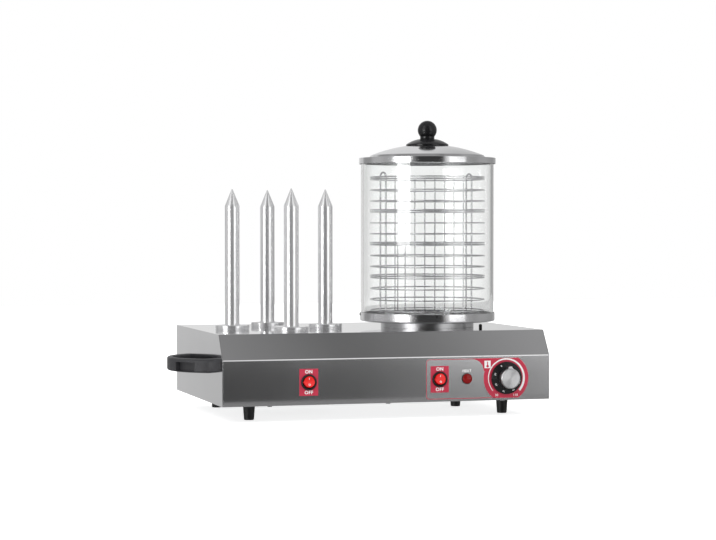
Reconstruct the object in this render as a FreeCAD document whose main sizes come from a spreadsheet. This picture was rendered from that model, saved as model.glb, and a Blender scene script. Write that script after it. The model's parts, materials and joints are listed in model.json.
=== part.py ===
import FreeCAD, Part
import math
import os
import re
import Sketcher

# Counter-top hot dog toaster: four heated toasting spikes beside a glass sausage steamer.
# Frame: millimetres, +X to the operator's right, +Y towards the back, +Z up. The origin is on the
# surface that the feet stand on, under the middle of the whole machine.

Vector = FreeCAD.Vector
Rotation = FreeCAD.Rotation

doc = FreeCAD.newDocument("HotDogToaster")
sheet = doc.addObject("Spreadsheet::Sheet", "Dimensions")

# Driving dimensions, in millimetres unless a note says otherwise
DIMENSIONS = {
    "housing": {
        "body_width": 488.0,
        "body_depth": 315.0,
        "body_height": 100.0,
        "bend_height": 64.5,
        "slant_depth": 24.0,
        "sheet_steel": 1.2,
        "lip_depth": 14.0,
        "seam_gap": 0.3,
        "hole_gap": 0.3,
        "thread_gap": 0.1,
    },
    "base plate": {
        "vent_width": 8.0,
        "vent_length": 70.0,
        "vent_pitch": 22.0,
        "vent_count": 7,
        "base_screw_radius": 1.6,
        "base_screw_head": 3.4,
        "base_screw_head_height": 1.6,
        "base_screw_grip": 3.0,
        "base_screw_inset": 70.0,
    },
    "feet": {
        "foot_height": 24.0,
        "foot_top_radius": 9.8,
        "foot_bottom_radius": 7.2,
        "foot_flange": 2.0,
        "foot_step": 1.0,
        "foot_bevel": 0.8,
        "foot_inset_side": 52.0,
        "foot_inset_front": 58.0,
        "foot_inset_rear": 48.0,
        "odd_foot_inset_side": 81.0,
        "odd_foot_inset_rear": 133.0,
        "foot_bore": 4.6,
        "foot_bore_depth": 12.0,
        "foot_screw_radius": 2.0,
        "foot_screw_head": 3.8,
        "foot_screw_head_height": 2.6,
        "foot_nut_radius": 4.2,
        "foot_nut_height": 3.2,
    },
    "handles": {
        "handle_length": 146.0,
        "handle_reach": 45.0,
        "handle_height": 20.0,
        "handle_bar": 9.0,
        "handle_pad": 18.0,
        "handle_rise": 51.5,
        "handle_round": 3.0,
        "recess_height": 13.0,
        "recess_depth": 7.0,
        "recess_drop": 2.0,
        "recess_first_angle": 21.0,
        "recess_last_angle": 47.5,
        "handle_screw_radius": 2.4,
        "handle_screw_head": 4.5,
        "handle_screw_head_height": 2.4,
        "handle_screw_grip": 7.0,
        "handle_screw_room": 1.0,
    },
    "spikes": {
        "spike_x": 122.0,
        "spike_spread": 71.0,
        "spike_radius": 10.8,
        "spike_length": 206.5,
        "spike_point": 25.0,
        "spike_tip_radius": 0.8,
        "spike_tail": 26.0,
        "spike_bore": 7.6,
        "spike_end_wall": 4.0,
        "spike_flange": 14.0,
        "spike_flange_height": 2.5,
        "collar_radius": 25.0,
        "collar_height": 7.0,
        "collar_groove_low": 1.3,
        "collar_groove_high": 2.1,
        "collar_groove_depth": 0.8,
        "collar_bevel": 0.7,
        "collar_sink": 2.2,
        "spike_nut_radius": 17.0,
        "spike_nut_height": 6.0,
        "heater_gap": 0.3,
        "heater_head": 9.6,
        "heater_head_height": 3.0,
        "heater_tail": 6.0,
        "heater_tail_radius": 5.0,
    },
    "steamer base": {
        "steamer_x": 353.0,
        "stand_radius": 70.0,
        "stand_height": 9.0,
        "basin_radius": 66.0,
        "basin_depth": 45.0,
        "basin_corner": 8.0,
        "tray_radius": 102.0,
        "tray_top": 22.0,
        "tray_corner": 2.5,
        "stud_radius": 1.3,
        "stud_head": 1.9,
        "stud_reach": 0.8,
        "stud_drop": 2.8,
        "stud_turn": 10.5,
        "stud_count": 4,
        "plug_x": 417.0,
        "plug_y": 98.0,
        "plug_radius": 2.4,
        "plug_height": 5.5,
        "plug_tail": 4.0,
        "plug_stem": 1.7,
    },
    "glass": {
        "glass_radius": 100.0,
        "glass_wall": 4.0,
        "glass_height": 240.0,
        "glass_seal_height": 1.5,
        "glass_seal_inner": 94.5,
        "glass_seal_outer": 98.8,
        "lid_seal_height": 1.5,
    },
    "basket": {
        "basket_radius": 86.0,
        "basket_pitch": 16.43,
        "ring_count": 14,
        "ring_wire": 1.0,
        "hoop_count": 4,
        "hoop_every": 3,
        "hoop_rise": 3.0,
        "first_ring_step": 13.7,
        "rear_uprights_each_side": 3,
        "rear_upright_middle": 74.0,
        "rear_upright_step": 10.8,
        "paired_upright_step": 1.8,
        "front_upright_turn": 290.3,
        "upright_wire": 1.0,
        "upright_rise": 4.5,
        "weld_gap": 0.05,
        "rest_gap": 0.2,
        "floor_pitch": 16.0,
        "floor_each_side": 4,
        "ear_wire": 1.3,
        "ear_width": 13.0,
        "ear_top": 10.5,
        "ear_turn": 20.5,
    },
    "lid": {
        "band_radius": 103.0,
        "band_height": 9.0,
        "band_sheet": 0.7,
        "shoulder_inner": 88.0,
        "dome_edge_radius": 85.3,
        "dome_step": 4.0,
        "dome_rise": 16.5,
        "lid_screw_radius": 2.5,
        "lid_screw_head": 5.0,
        "lid_screw_head_height": 2.5,
        "lid_screw_grip": 12.0,
        "skirt_radius": 32.0,
        "skirt_rim": 2.2,
        "skirt_crown": 8.4,
        "skirt_round": 45.0,
        "neck_radius": 10.8,
        "neck_rise": 3.7,
        "ball_radius": 14.4,
    },
    "heating": {
        "element_radius": 45.0,
        "element_tube": 4.0,
        "clamp_radius": 58.0,
        "clamp_thickness": 2.0,
        "clamp_post": 6.0,
        "bulb_radius": 3.0,
        "bulb_length": 30.0,
        "bulb_drop": 8.0,
    },
    "front controls": {
        "label_sheet": 0.4,
        "label_left": 298.0,
        "label_height": 58.5,
        "label_corner": 5.0,
        "dial_x": 420.7,
        "dial_radius": 34.7,
        "shaft_radius": 3.0,
        "shaft_hole": 5.0,
        "knob_gap": 0.8,
        "knob_radius": 23.5,
        "knob_edge": 2.4,
        "knob_slope_radius": 16.0,
        "knob_depth": 7.0,
        "hub_radius": 12.0,
        "hub_length": 9.5,
        "cap_radius": 14.6,
        "cap_bevel": 1.2,
        "cap_length": 12.0,
        "nose_reach": 3.2,
        "nose_width": 11.0,
        "thermostat_width": 36.0,
        "thermostat_depth": 28.0,
        "thermostat_height": 40.0,
        "thermostat_bore": 12.0,
        "switch_one_x": 124.5,
        "switch_two_x": 319.0,
        "switch_plate_width": 27.5,
        "switch_plate_height": 38.0,
        "bezel_radius": 11.4,
        "bezel_height": 2.0,
        "bezel_bevel": 0.6,
        "barrel_radius": 10.3,
        "barrel_bore": 9.1,
        "barrel_bore_depth": 8.0,
        "barrel_depth": 12.0,
        "rocker_radius": 7.7,
        "rocker_front": 5.0,
        "rocker_back": 5.0,
        "rocker_dish": 2.0,
        "rocker_pivot": 2.0,
        "rocker_tilt": 12.0,
        "pin_radius": 1.0,
        "pin_gap": 0.15,
        "pin_engage": 0.8,
        "lamp_x": 360.4,
        "lamp_radius": 8.0,
        "lamp_edge": 1.2,
        "lens_radius": 7.0,
        "lens_rim": 0.8,
        "lens_dome": 2.4,
        "lamp_barrel": 5.5,
        "lamp_depth": 18.0,
    },
    "supply": {
        "gland_x": 400.0,
        "gland_rise": 30.0,
        "gland_thread": 7.0,
        "gland_nut": 11.0,
        "gland_nut_height": 6.0,
        "gland_dome": 9.0,
        "gland_reach": 16.0,
        "gland_bore": 4.2,
        "gland_lock_nut": 10.5,
        "gland_lock_height": 4.0,
        "gland_tail": 10.0,
        "block_width": 40.0,
        "block_depth": 18.0,
        "block_height": 16.0,
        "block_gap": 22.0,
        "block_hole": 2.6,
        "block_hole_pitch": 12.0,
    },
}

# The sheet holds one row for each dimension: its name in column A, its value in column B
row = 1
for heading, sizes in DIMENSIONS.items():
    sheet.set(f"A{row}", heading)
    row += 1
    for alias, size in sizes.items():
        sheet.set(f"A{row}", alias)
        sheet.set(f"B{row}", str(size))
        sheet.setAlias(f"B{row}", alias)
        row += 1
doc.recompute()

ALIASES = [alias for sizes in DIMENSIONS.values() for alias in sizes]
ALIAS_WORD = re.compile(r"\b(" + "|".join(ALIASES) + r")\b")

# Places that several pieces share, written as formulas of the sheet's cells
KNOB_REACH = "(label_sheet + knob_gap + knob_depth + cap_length)"
FRONT = f"(-(body_depth + gland_reach - {KNOB_REACH}) / 2)"
LEFT = "(-body_width / 2)"
TOP = "(foot_height + body_height)"
INSIDE_FRONT = f"({FRONT} + sheet_steel)"
CONTROL_LEVEL = "(foot_height + bend_height / 2)"
MIDDLE = f"({FRONT} + body_depth / 2)"
SPIKE_X = f"({LEFT} + spike_x)"
STEAMER_X = f"({LEFT} + steamer_x)"
DIAL_X = f"({LEFT} + dial_x)"
LAMP_X = f"({LEFT} + lamp_x)"
PLUG_X = f"({LEFT} + plug_x)"
PLUG_Y = f"({FRONT} + plug_y)"
TRAY_FLOOR = "(stand_height + sheet_steel)"
GLASS_BASE = f"({TRAY_FLOOR} + glass_seal_height)"
GLASS_TOP = f"({GLASS_BASE} + glass_height)"
LID_SHOULDER = f"({GLASS_TOP} + lid_seal_height)"
DOME_EDGE = f"({LID_SHOULDER} + sheet_steel + dome_step)"
DOME_TOP = f"({DOME_EDGE} + dome_rise)"
DOME_RADIUS = "((dome_edge_radius^2 + dome_rise^2) / (2 * dome_rise))"
DOME_CENTRE = f"({DOME_TOP} - {DOME_RADIUS})"
DOME_INSIDE = f"({DOME_RADIUS} - sheet_steel)"
DOME_OUTSIDE = f"({DOME_RADIUS} + weld_gap)"
SCREW_HOLE = "(lid_screw_radius + hole_gap)"
NECK_BASE = f"({DOME_TOP} + skirt_crown)"
LOWEST_RING = f"({TRAY_FLOOR} + rest_gap + ring_wire)"
HIGHEST_RING = f"({LOWEST_RING} + first_ring_step + (ring_count - 2) * basket_pitch)"
UPRIGHT_RADIUS = "(basket_radius - ring_wire - weld_gap - upright_wire)"
FLOOR_RING = f"({UPRIGHT_RADIUS} - upright_wire - weld_gap - ring_wire)"
SPIKE_HOLE = "(spike_radius + hole_gap)"
BARREL_HOLE = "(barrel_radius + hole_gap)"


def formula(text):
    """The text as an expression, with each dimension's name pointing at its cell."""
    return ALIAS_WORD.sub(r"Dimensions.\1", str(text))


def value(text):
    """What a formula comes to now."""
    return float(sheet.evalExpression(formula(text)))


def bind(item, path, text):
    """Ties one property of an object to a formula."""
    item.setExpression(path, formula(text))


def place(item, x="0", y="0", z="0", rotation=None):
    """Turns an object and ties its position to three formulas."""
    if rotation is not None:
        item.Placement = FreeCAD.Placement(Vector(), rotation)
    bind(item, "Placement.Base.x", x)
    bind(item, "Placement.Base.y", y)
    bind(item, "Placement.Base.z", z)
    return item


TO_FRONT = Rotation(Vector(1, 0, 0), 90)
TO_BACK = Rotation(Vector(1, 0, 0), -90)
TO_LEFT = Rotation(Vector(0, 1, 0), -90)
TO_RIGHT = Rotation(Vector(0, 1, 0), 90)


def new_body(name):
    body = doc.addObject("PartDesign::Body", name)
    body.Label = name
    return body


def new_sketch(body, plane, offset="0"):
    """An empty sketch on one of the body's own origin planes, lifted off it by a formula."""
    sketch = body.newObject("Sketcher::SketchObject", "Sketch")
    origin = [item for item in body.Origin.OriginFeatures if item.Role == plane][0]
    sketch.AttachmentSupport = (origin, [""])
    sketch.MapMode = "FlatFace"
    bind(sketch, "AttachmentOffset.Base.z", offset)
    return sketch


def pin_point(sketch, edge, end, x, y):
    """Holds one end of a sketch edge at formulas measured from the sketch's origin."""
    across = sketch.addConstraint(Sketcher.Constraint("DistanceX", -1, 1, edge, end, value(x)))
    bind(sketch, f"Constraints[{across}]", x)
    up = sketch.addConstraint(Sketcher.Constraint("DistanceY", -1, 1, edge, end, value(y)))
    bind(sketch, f"Constraints[{up}]", y)


def arc_between(start, end, radius, turns_left):
    """The shorter arc between two points; going along it turns left or right."""
    middle = (start + end) * 0.5
    along = end - start
    half = along.Length / 2
    across = Vector(-along.y, along.x, 0).normalize()
    lift = math.sqrt(max(radius**2 - half**2, 0.0))
    centre = middle + across * (lift if turns_left else -lift)
    circle = Part.Circle(centre, Vector(0, 0, 1), radius)
    first, last = (start, end) if turns_left else (end, start)
    begin = math.atan2(first.y - centre.y, first.x - centre.x)
    finish = math.atan2(last.y - centre.y, last.x - centre.x)
    return Part.ArcOfCircle(circle, begin, finish)


def outline(sketch, corners):
    """Draws a closed outline. A corner is (x, y), or (x, y, radius, "left" or "right") where an
    arc runs from it to the next corner."""
    points = [Vector(value(corner[0]), value(corner[1]), 0) for corner in corners]
    first_edge = sketch.GeometryCount
    ends = []
    for index, corner in enumerate(corners):
        start = points[index]
        end = points[(index + 1) % len(points)]
        if len(corner) == 2:
            sketch.addGeometry(Part.LineSegment(start, end), False)
            ends.append((1, 2))
            continue
        turns_left = corner[3] == "left"
        edge = sketch.addGeometry(arc_between(start, end, value(corner[2]), turns_left), False)
        ends.append((1, 2) if turns_left else (2, 1))
        size = sketch.addConstraint(Sketcher.Constraint("Radius", edge, value(corner[2])))
        bind(sketch, f"Constraints[{size}]", corner[2])
    for index, corner in enumerate(corners):
        following = (index + 1) % len(corners)
        here = first_edge + index
        there = first_edge + following
        link = Sketcher.Constraint("Coincident", here, ends[index][1], there, ends[following][0])
        sketch.addConstraint(link)
        pin_point(sketch, here, ends[index][0], corner[0], corner[1])
    return sketch


def circles(sketch, spots):
    """Draws circles, each (x, y, radius)."""
    for x, y, radius in spots:
        circle = Part.Circle(Vector(value(x), value(y), 0), Vector(0, 0, 1), value(radius))
        edge = sketch.addGeometry(circle, False)
        size = sketch.addConstraint(Sketcher.Constraint("Radius", edge, value(radius)))
        bind(sketch, f"Constraints[{size}]", radius)
        pin_point(sketch, edge, 3, x, y)
    return sketch


def pad(body, sketch, length, backwards=False, midplane=False):
    feature = body.newObject("PartDesign::Pad", "Pad")
    feature.Profile = sketch
    feature.Reversed = backwards
    feature.Midplane = midplane
    bind(feature, "Length", length)
    return feature


def pocket(body, sketch, depth, backwards=False, midplane=False):
    """Cuts a sketch into the body, and fails if nothing was cut."""
    doc.recompute()
    before = body.Shape.Volume
    feature = body.newObject("PartDesign::Pocket", "Pocket")
    feature.Profile = sketch
    feature.Reversed = backwards
    feature.Midplane = midplane
    bind(feature, "Length", depth)
    doc.recompute()
    if body.Shape.Volume > before - 1e-3:
        raise RuntimeError(f"{body.Label}: a pocket cut nothing")
    return feature


def turned(name, corners):
    """A body turned about its own Z axis from an outline of (radius, height) corners."""
    body = new_body(name)
    sketch = outline(new_sketch(body, "XZ_Plane"), corners)
    feature = body.newObject("PartDesign::Revolution", "Revolution")
    feature.Profile = sketch
    feature.ReferenceAxis = (sketch, ["V_Axis"])
    feature.Angle = 360
    return body


def tube(name, outer, inner, low, high):
    return turned(name, [(inner, low), (outer, low), (outer, high), (inner, high)])


def rod(name, radius, low, high):
    return turned(name, [("0", low), (radius, low), (radius, high), ("0", high)])


def screw(name, radius, head, head_height, grip):
    """A headed screw along +Z: the head's underside is at height 0 and the head hangs below."""
    return turned(name, [
        ("0", f"-{head_height}"),
        (head, f"-{head_height}"),
        (head, "0"),
        (radius, "0"),
        (radius, grip),
        ("0", grip),
    ])


def group(name, members):
    """One sub-part made of several like pieces."""
    compound = doc.addObject("Part::Compound", name)
    compound.Label = name
    compound.Links = members
    return compound


# Housing

RISE = "(body_height - bend_height)"
SLOPE = f"sqrt(slant_depth^2 + {RISE}^2)"


def side_outline():
    """The housing's side view, as (depth from the front face, height above the base)."""
    return [
        ("0", "0"),
        ("body_depth", "0"),
        ("body_depth", "body_height"),
        ("slant_depth", "body_height"),
        ("0", "bend_height"),
    ]


def spike_spots():
    """The four spikes stand in a square turned on its corner, as (x, y) formulas."""
    return [
        (SPIKE_X, f"({MIDDLE} - spike_spread)"),
        (f"({SPIKE_X} - spike_spread)", MIDDLE),
        (f"({SPIKE_X} + spike_spread)", MIDDLE),
        (SPIKE_X, f"({MIDDLE} + spike_spread)"),
    ]


def base_screw_spots():
    """Screws along the front and rear lips, as (x, y) formulas."""
    front_row = f"({FRONT} + sheet_steel + lip_depth / 2)"
    rear_row = f"({FRONT} + body_depth - sheet_steel - lip_depth / 2)"
    columns = [f"({LEFT} + base_screw_inset)", "0", "(body_width / 2 - base_screw_inset)"]
    return [(x, y) for y in (front_row, rear_row) for x in columns]


def housing_shell():
    """One folded sheet: lower front, slanted front, top and rear wall, with two bottom lips."""
    body = new_body("housing_shell")
    inner_bend = f"(bend_height - sheet_steel * ({SLOPE} - {RISE}) / slant_depth)"
    inner_top = f"(slant_depth + sheet_steel * ({SLOPE} - slant_depth) / {RISE})"
    rear_inside = "(body_depth - sheet_steel)"
    rear_lip = "(body_depth - sheet_steel - lip_depth)"
    front_lip = "(sheet_steel + lip_depth)"
    ceiling = "(body_height - sheet_steel)"
    lip_top = "(2 * sheet_steel)"
    sketch = outline(new_sketch(body, "YZ_Plane"), [
        ("0", "0"),
        ("sheet_steel", "0"),
        ("sheet_steel", "sheet_steel"),
        (front_lip, "sheet_steel"),
        (front_lip, lip_top),
        ("sheet_steel", lip_top),
        ("sheet_steel", inner_bend),
        (inner_top, ceiling),
        (rear_inside, ceiling),
        (rear_inside, lip_top),
        (rear_lip, lip_top),
        (rear_lip, "sheet_steel"),
        (rear_inside, "sheet_steel"),
        (rear_inside, "0"),
        ("body_depth", "0"),
        ("body_depth", "body_height"),
        ("slant_depth", "body_height"),
        ("0", "bend_height"),
    ])
    pad(body, sketch, "body_width - 2 * sheet_steel", midplane=True)

    top_holes = [(x, f"({y} - {FRONT})", SPIKE_HOLE) for x, y in spike_spots()]
    top_holes.append((STEAMER_X, "body_depth / 2", "(basin_radius + hole_gap)"))
    top_holes.append((PLUG_X, "plug_y", "(plug_stem + hole_gap)"))
    drawn = circles(new_sketch(body, "XY_Plane", "body_height"), top_holes)
    pocket(body, drawn, "2 * sheet_steel")

    centre = "bend_height / 2"
    front_holes = [
        (f"({LEFT} + switch_one_x)", centre, BARREL_HOLE),
        (f"({LEFT} + switch_two_x)", centre, BARREL_HOLE),
        (LAMP_X, centre, "(lamp_barrel + hole_gap)"),
        (DIAL_X, centre, "shaft_hole"),
    ]
    drawn = circles(new_sketch(body, "XZ_Plane"), front_holes)
    pocket(body, drawn, "2 * sheet_steel")

    gland_hole = [(f"({LEFT} + gland_x)", "gland_rise", "(gland_thread + hole_gap)")]
    drawn = circles(new_sketch(body, "XZ_Plane", "-body_depth"), gland_hole)
    pocket(body, drawn, "2 * sheet_steel", backwards=True)

    lip_holes = []
    for x, y in base_screw_spots():
        lip_holes.append((x, f"({y} - {FRONT})", "(base_screw_radius + thread_gap)"))
    drawn = circles(new_sketch(body, "XY_Plane"), lip_holes)
    pocket(body, drawn, "3 * sheet_steel", backwards=True)
    return place(body, y=FRONT, z="foot_height")


def handle_screw_spots():
    """Screws through the middle of each handle foot, as (depth, height) in the side view."""
    reach = "(handle_length / 2 - handle_pad / 2)"
    return [
        (f"(body_depth / 2 - {reach})", "handle_rise"),
        (f"(body_depth / 2 + {reach})", "handle_rise"),
    ]


def side_panel(name, x):
    """A flat end plate that closes the folded sheet and carries a handle."""
    body = new_body(name)
    sketch = outline(new_sketch(body, "YZ_Plane"), side_outline())
    pad(body, sketch, "sheet_steel")
    spots = []
    for y, z in handle_screw_spots():
        spots.append((y, z, "(handle_screw_radius + hole_gap)"))
    drawn = circles(new_sketch(body, "YZ_Plane"), spots)
    pocket(body, drawn, "2 * sheet_steel", midplane=True)
    return place(body, x=x, y=FRONT, z="foot_height")


def foot_spots():
    """Where the feet stand; the right rear one is set further in than the others."""
    left = f"({LEFT} + foot_inset_side)"
    right = "(body_width / 2 - foot_inset_side)"
    front = f"({FRONT} + foot_inset_front)"
    rear = f"({FRONT} + body_depth - foot_inset_rear)"
    return {
        "foot_front_left": (left, front),
        "foot_front_right": (right, front),
        "foot_rear_left": (left, rear),
        "foot_rear_right": (
            "(body_width / 2 - odd_foot_inset_side)",
            f"({FRONT} + body_depth - odd_foot_inset_rear)",
        ),
    }


def base_plate():
    """The bottom cover, with vent slots under the heaters and holes for the feet."""
    body = new_body("base_plate")
    half = "(body_width / 2 - sheet_steel - seam_gap)"
    near = f"({INSIDE_FRONT} + seam_gap)"
    far = f"({FRONT} + body_depth - sheet_steel - seam_gap)"
    sketch = outline(new_sketch(body, "XY_Plane"), [
        (f"-{half}", near),
        (half, near),
        (half, far),
        (f"-{half}", far),
    ])
    pad(body, sketch, "sheet_steel")

    spots = [(x, y, "(foot_screw_radius + hole_gap)") for x, y in foot_spots().values()]
    for x, y in base_screw_spots():
        spots.append((x, y, "(base_screw_radius + thread_gap)"))
    drawn = circles(new_sketch(body, "XY_Plane"), spots)
    pocket(body, drawn, "2 * sheet_steel", backwards=True)

    first = f"({SPIKE_X} - vent_pitch * (vent_count - 1) / 2)"
    low = f"({MIDDLE} - vent_length / 2)"
    high = f"({MIDDLE} + vent_length / 2)"
    slot = outline(new_sketch(body, "XY_Plane"), [
        (f"({first} - vent_width / 2)", low),
        (f"({first} + vent_width / 2)", low),
        (f"({first} + vent_width / 2)", high),
        (f"({first} - vent_width / 2)", high),
    ])
    cut = pocket(body, slot, "2 * sheet_steel", backwards=True)
    pattern = body.newObject("PartDesign::LinearPattern", "Vents")
    pattern.Originals = [cut]
    pattern.Direction = (slot, ["H_Axis"])
    bind(pattern, "Length", "vent_pitch * (vent_count - 1)")
    bind(pattern, "Occurrences", "vent_count")
    body.Tip = pattern
    return place(body, z="foot_height")


def base_screws():
    members = []
    for index, (x, y) in enumerate(base_screw_spots()):
        one = screw(
            f"base_screw_{index}",
            "base_screw_radius",
            "base_screw_head",
            "base_screw_head_height",
            "2 * sheet_steel + base_screw_grip",
        )
        members.append(place(one, x, y, "foot_height"))
    return group("base_screws", members)


# Feet

def foot(name, x, y):
    """A tapered plastic foot, bored from below for its screw."""
    screw_hole = "(foot_screw_radius + hole_gap)"
    body = turned(name, [
        ("foot_bore", "0"),
        ("(foot_bottom_radius - foot_bevel)", "0"),
        ("foot_bottom_radius", "foot_bevel"),
        ("(foot_top_radius - foot_step)", "(foot_height - foot_flange)"),
        ("foot_top_radius", "(foot_height - foot_flange)"),
        ("foot_top_radius", "foot_height"),
        (screw_hole, "foot_height"),
        (screw_hole, "foot_bore_depth"),
        ("foot_bore", "foot_bore_depth"),
    ])
    return place(body, x, y)


def hex_nut(name, radius, bore, height):
    """A six-sided nut that stands on height 0."""
    body = new_body(name)
    sketch = new_sketch(body, "XY_Plane")
    corners = []
    for step in range(6):
        angle = math.radians(60 * step)
        corners.append((f"({radius} * {math.cos(angle):.6f})", f"({radius} * {math.sin(angle):.6f})"))
    outline(sketch, corners)
    circles(sketch, [("0", "0", bore)])
    pad(body, sketch, height)
    return body


def foot_screws():
    """A screw up through each foot, with its nut on the base plate."""
    members = []
    grip = "(foot_height - foot_bore_depth + sheet_steel + foot_nut_height)"
    for name, (x, y) in foot_spots().items():
        one = screw(
            f"{name}_screw",
            "foot_screw_radius",
            "foot_screw_head",
            "foot_screw_head_height",
            grip,
        )
        members.append(place(one, x, y, "foot_bore_depth"))
        bore = "(foot_screw_radius + thread_gap)"
        nut = hex_nut(f"{name}_nut", "foot_nut_radius", bore, "foot_nut_height")
        members.append(place(nut, x, y, "(foot_height + sheet_steel)"))
    return group("foot_screws", members)


# Handles

HANDLE_HALF = "(handle_length / 2)"
BOW_OUTSIDE = f"((handle_reach^2 + {HANDLE_HALF}^2) / (2 * handle_reach))"
BOW_MOUTH = f"({HANDLE_HALF} - handle_pad)"
BOW_DEPTH = "(handle_reach - handle_bar)"
BOW_INSIDE = f"(({BOW_DEPTH}^2 + {BOW_MOUTH}^2) / (2 * {BOW_DEPTH}))"


def on_bow(radius, angle):
    """A point at a radius and angle about the centre of the bow's outer face."""
    reach = f"(handle_reach - {BOW_OUTSIDE} + {radius} * cos({angle}))"
    return reach, f"({radius} * sin({angle}))"


def bow_recess(first, last):
    """The outline of a recess in the bow's outer face, between two angles."""
    floor = f"({BOW_OUTSIDE} - recess_depth)"
    clear = f"({BOW_OUTSIDE} + handle_round)"
    return [
        (*on_bow(floor, first), floor, "left"),
        on_bow(floor, last),
        (*on_bow(clear, last), clear, "right"),
        on_bow(clear, first),
    ]


def handle(name):
    """A moulded bow handle, built pointing right from the panel's face."""
    body = new_body(name)
    sketch = outline(new_sketch(body, "XY_Plane"), [
        ("0", f"(-{HANDLE_HALF})", BOW_OUTSIDE, "left"),
        ("0", HANDLE_HALF),
        ("0", BOW_MOUTH, BOW_INSIDE, "right"),
        ("0", f"(-{BOW_MOUTH})"),
    ])
    bow = pad(body, sketch, "handle_height", midplane=True)
    doc.recompute()

    edges = []
    for index, edge in enumerate(bow.Shape.Edges):
        if edge.Curve.TypeId == "Part::GeomCircle":
            edges.append(f"Edge{index + 1}")
    rounded = body.newObject("PartDesign::Fillet", "Fillet")
    rounded.Base = (bow, edges)
    bind(rounded, "Radius", "handle_round")

    recesses = new_sketch(body, "XY_Plane", "-(recess_height / 2 + recess_drop)")
    outline(recesses, bow_recess("recess_first_angle", "recess_last_angle"))
    outline(recesses, bow_recess("(-recess_last_angle)", "(-recess_first_angle)"))
    pocket(body, recesses, "recess_height", backwards=True)

    holes = []
    for y, z in handle_screw_spots():
        holes.append((f"({y} - body_depth / 2)", "0", "(handle_screw_radius + thread_gap)"))
    drawn = circles(new_sketch(body, "YZ_Plane"), holes)
    pocket(body, drawn, "handle_screw_grip + handle_screw_room", backwards=True)
    return body


def left_handle():
    turned_round = Rotation(Vector(0, 0, 1), 180)
    return place(handle("handle_left"), LEFT, MIDDLE, "(foot_height + handle_rise)", turned_round)


def right_handle():
    return place(handle("handle_right"), "body_width / 2", MIDDLE, "(foot_height + handle_rise)")


def handle_screws():
    """Screws from inside the housing into the handles' feet."""
    members = []
    sides = (
        ("left", f"({LEFT} + sheet_steel)", TO_LEFT),
        ("right", "(body_width / 2 - sheet_steel)", TO_RIGHT),
    )
    for side, x, direction in sides:
        for index, (y, z) in enumerate(handle_screw_spots()):
            one = screw(
                f"handle_screw_{side}_{index}",
                "handle_screw_radius",
                "handle_screw_head",
                "handle_screw_head_height",
                "(sheet_steel + handle_screw_grip)",
            )
            members.append(place(one, x, f"({FRONT} + {y})", f"(foot_height + {z})", direction))
    return group("handle_screws", members)


# Spikes

def spike(number, x, y):
    """A hollow pointed spike, flanged above the top plate and threaded below it."""
    bore_top = "(spike_length - spike_point - spike_end_wall)"
    body = turned(f"spike_{number}", [
        ("spike_bore", "-spike_tail"),
        ("spike_radius", "-spike_tail"),
        ("spike_radius", "0"),
        ("spike_flange", "0"),
        ("spike_flange", "spike_flange_height"),
        ("spike_radius", "spike_flange_height"),
        ("spike_radius", "(spike_length - spike_point)"),
        ("spike_tip_radius", "spike_length"),
        ("0", "spike_length"),
        ("0", bore_top),
        ("spike_bore", bore_top),
    ])
    return place(body, x, y, TOP)


def spike_collar(number, x, y):
    """A turned collar round the spike, with a fine groove and a sunk centre."""
    seat = "(spike_flange + hole_gap)"
    seat_top = "(spike_flange_height + hole_gap)"
    groove = "(collar_radius - collar_groove_depth)"
    body = turned(f"spike_collar_{number}", [
        (seat, "0"),
        ("collar_radius", "0"),
        ("collar_radius", "collar_groove_low"),
        (groove, "collar_groove_low"),
        (groove, "collar_groove_high"),
        ("collar_radius", "collar_groove_high"),
        ("collar_radius", "(collar_height - collar_bevel)"),
        ("(collar_radius - collar_bevel)", "collar_height"),
        (f"({SPIKE_HOLE} + collar_sink)", "collar_height"),
        (SPIKE_HOLE, "(collar_height - collar_sink)"),
        (SPIKE_HOLE, seat_top),
        (seat, seat_top),
    ])
    return place(body, x, y, TOP)


def spike_heater(number, x, y):
    """A cartridge heater pushed up the spike's bore, with its head against the tail."""
    rod_radius = "(spike_bore - heater_gap)"
    rod_top = "(spike_length - spike_point - spike_end_wall - heater_gap)"
    head_base = "(-spike_tail - heater_head_height)"
    tail_base = "(-spike_tail - heater_head_height - heater_tail)"
    body = turned(f"spike_heater_{number}", [
        ("0", tail_base),
        ("heater_tail_radius", tail_base),
        ("heater_tail_radius", head_base),
        ("heater_head", head_base),
        ("heater_head", "-spike_tail"),
        (rod_radius, "-spike_tail"),
        (rod_radius, rod_top),
        ("0", rod_top),
    ])
    return place(body, x, y, TOP)


def spike_nuts():
    """The nut that holds each spike from below the top plate."""
    members = []
    for number, (x, y) in enumerate(spike_spots(), start=1):
        bore = "(spike_radius + thread_gap)"
        nut = hex_nut(f"spike_nut_{number}", "spike_nut_radius", bore, "spike_nut_height")
        members.append(place(nut, x, y, f"({TOP} - sheet_steel - spike_nut_height)"))
    return group("spike_nuts", members)


# Steamer base

def at_steamer(body, rotation=None):
    """Stands a piece on the steamer's axis, with height 0 at the top plate."""
    return place(body, STEAMER_X, MIDDLE, TOP, rotation)


def boiler_basin():
    """The water well, hung by its flange from the stand ring."""
    inner = "(basin_radius - sheet_steel)"
    flange = "(stand_height - sheet_steel)"
    body = turned("boiler_basin", [
        ("0", "-basin_depth"),
        ("(basin_radius - basin_corner)", "-basin_depth", "basin_corner", "left"),
        ("basin_radius", "(basin_corner - basin_depth)"),
        ("basin_radius", flange),
        ("stand_radius", flange),
        ("stand_radius", "stand_height"),
        (inner, "stand_height"),
        (inner, "(basin_corner - basin_depth)", "(basin_corner - sheet_steel)", "right"),
        ("(basin_radius - basin_corner)", "(sheet_steel - basin_depth)"),
        ("0", "(sheet_steel - basin_depth)"),
    ])
    return at_steamer(body)


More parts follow.
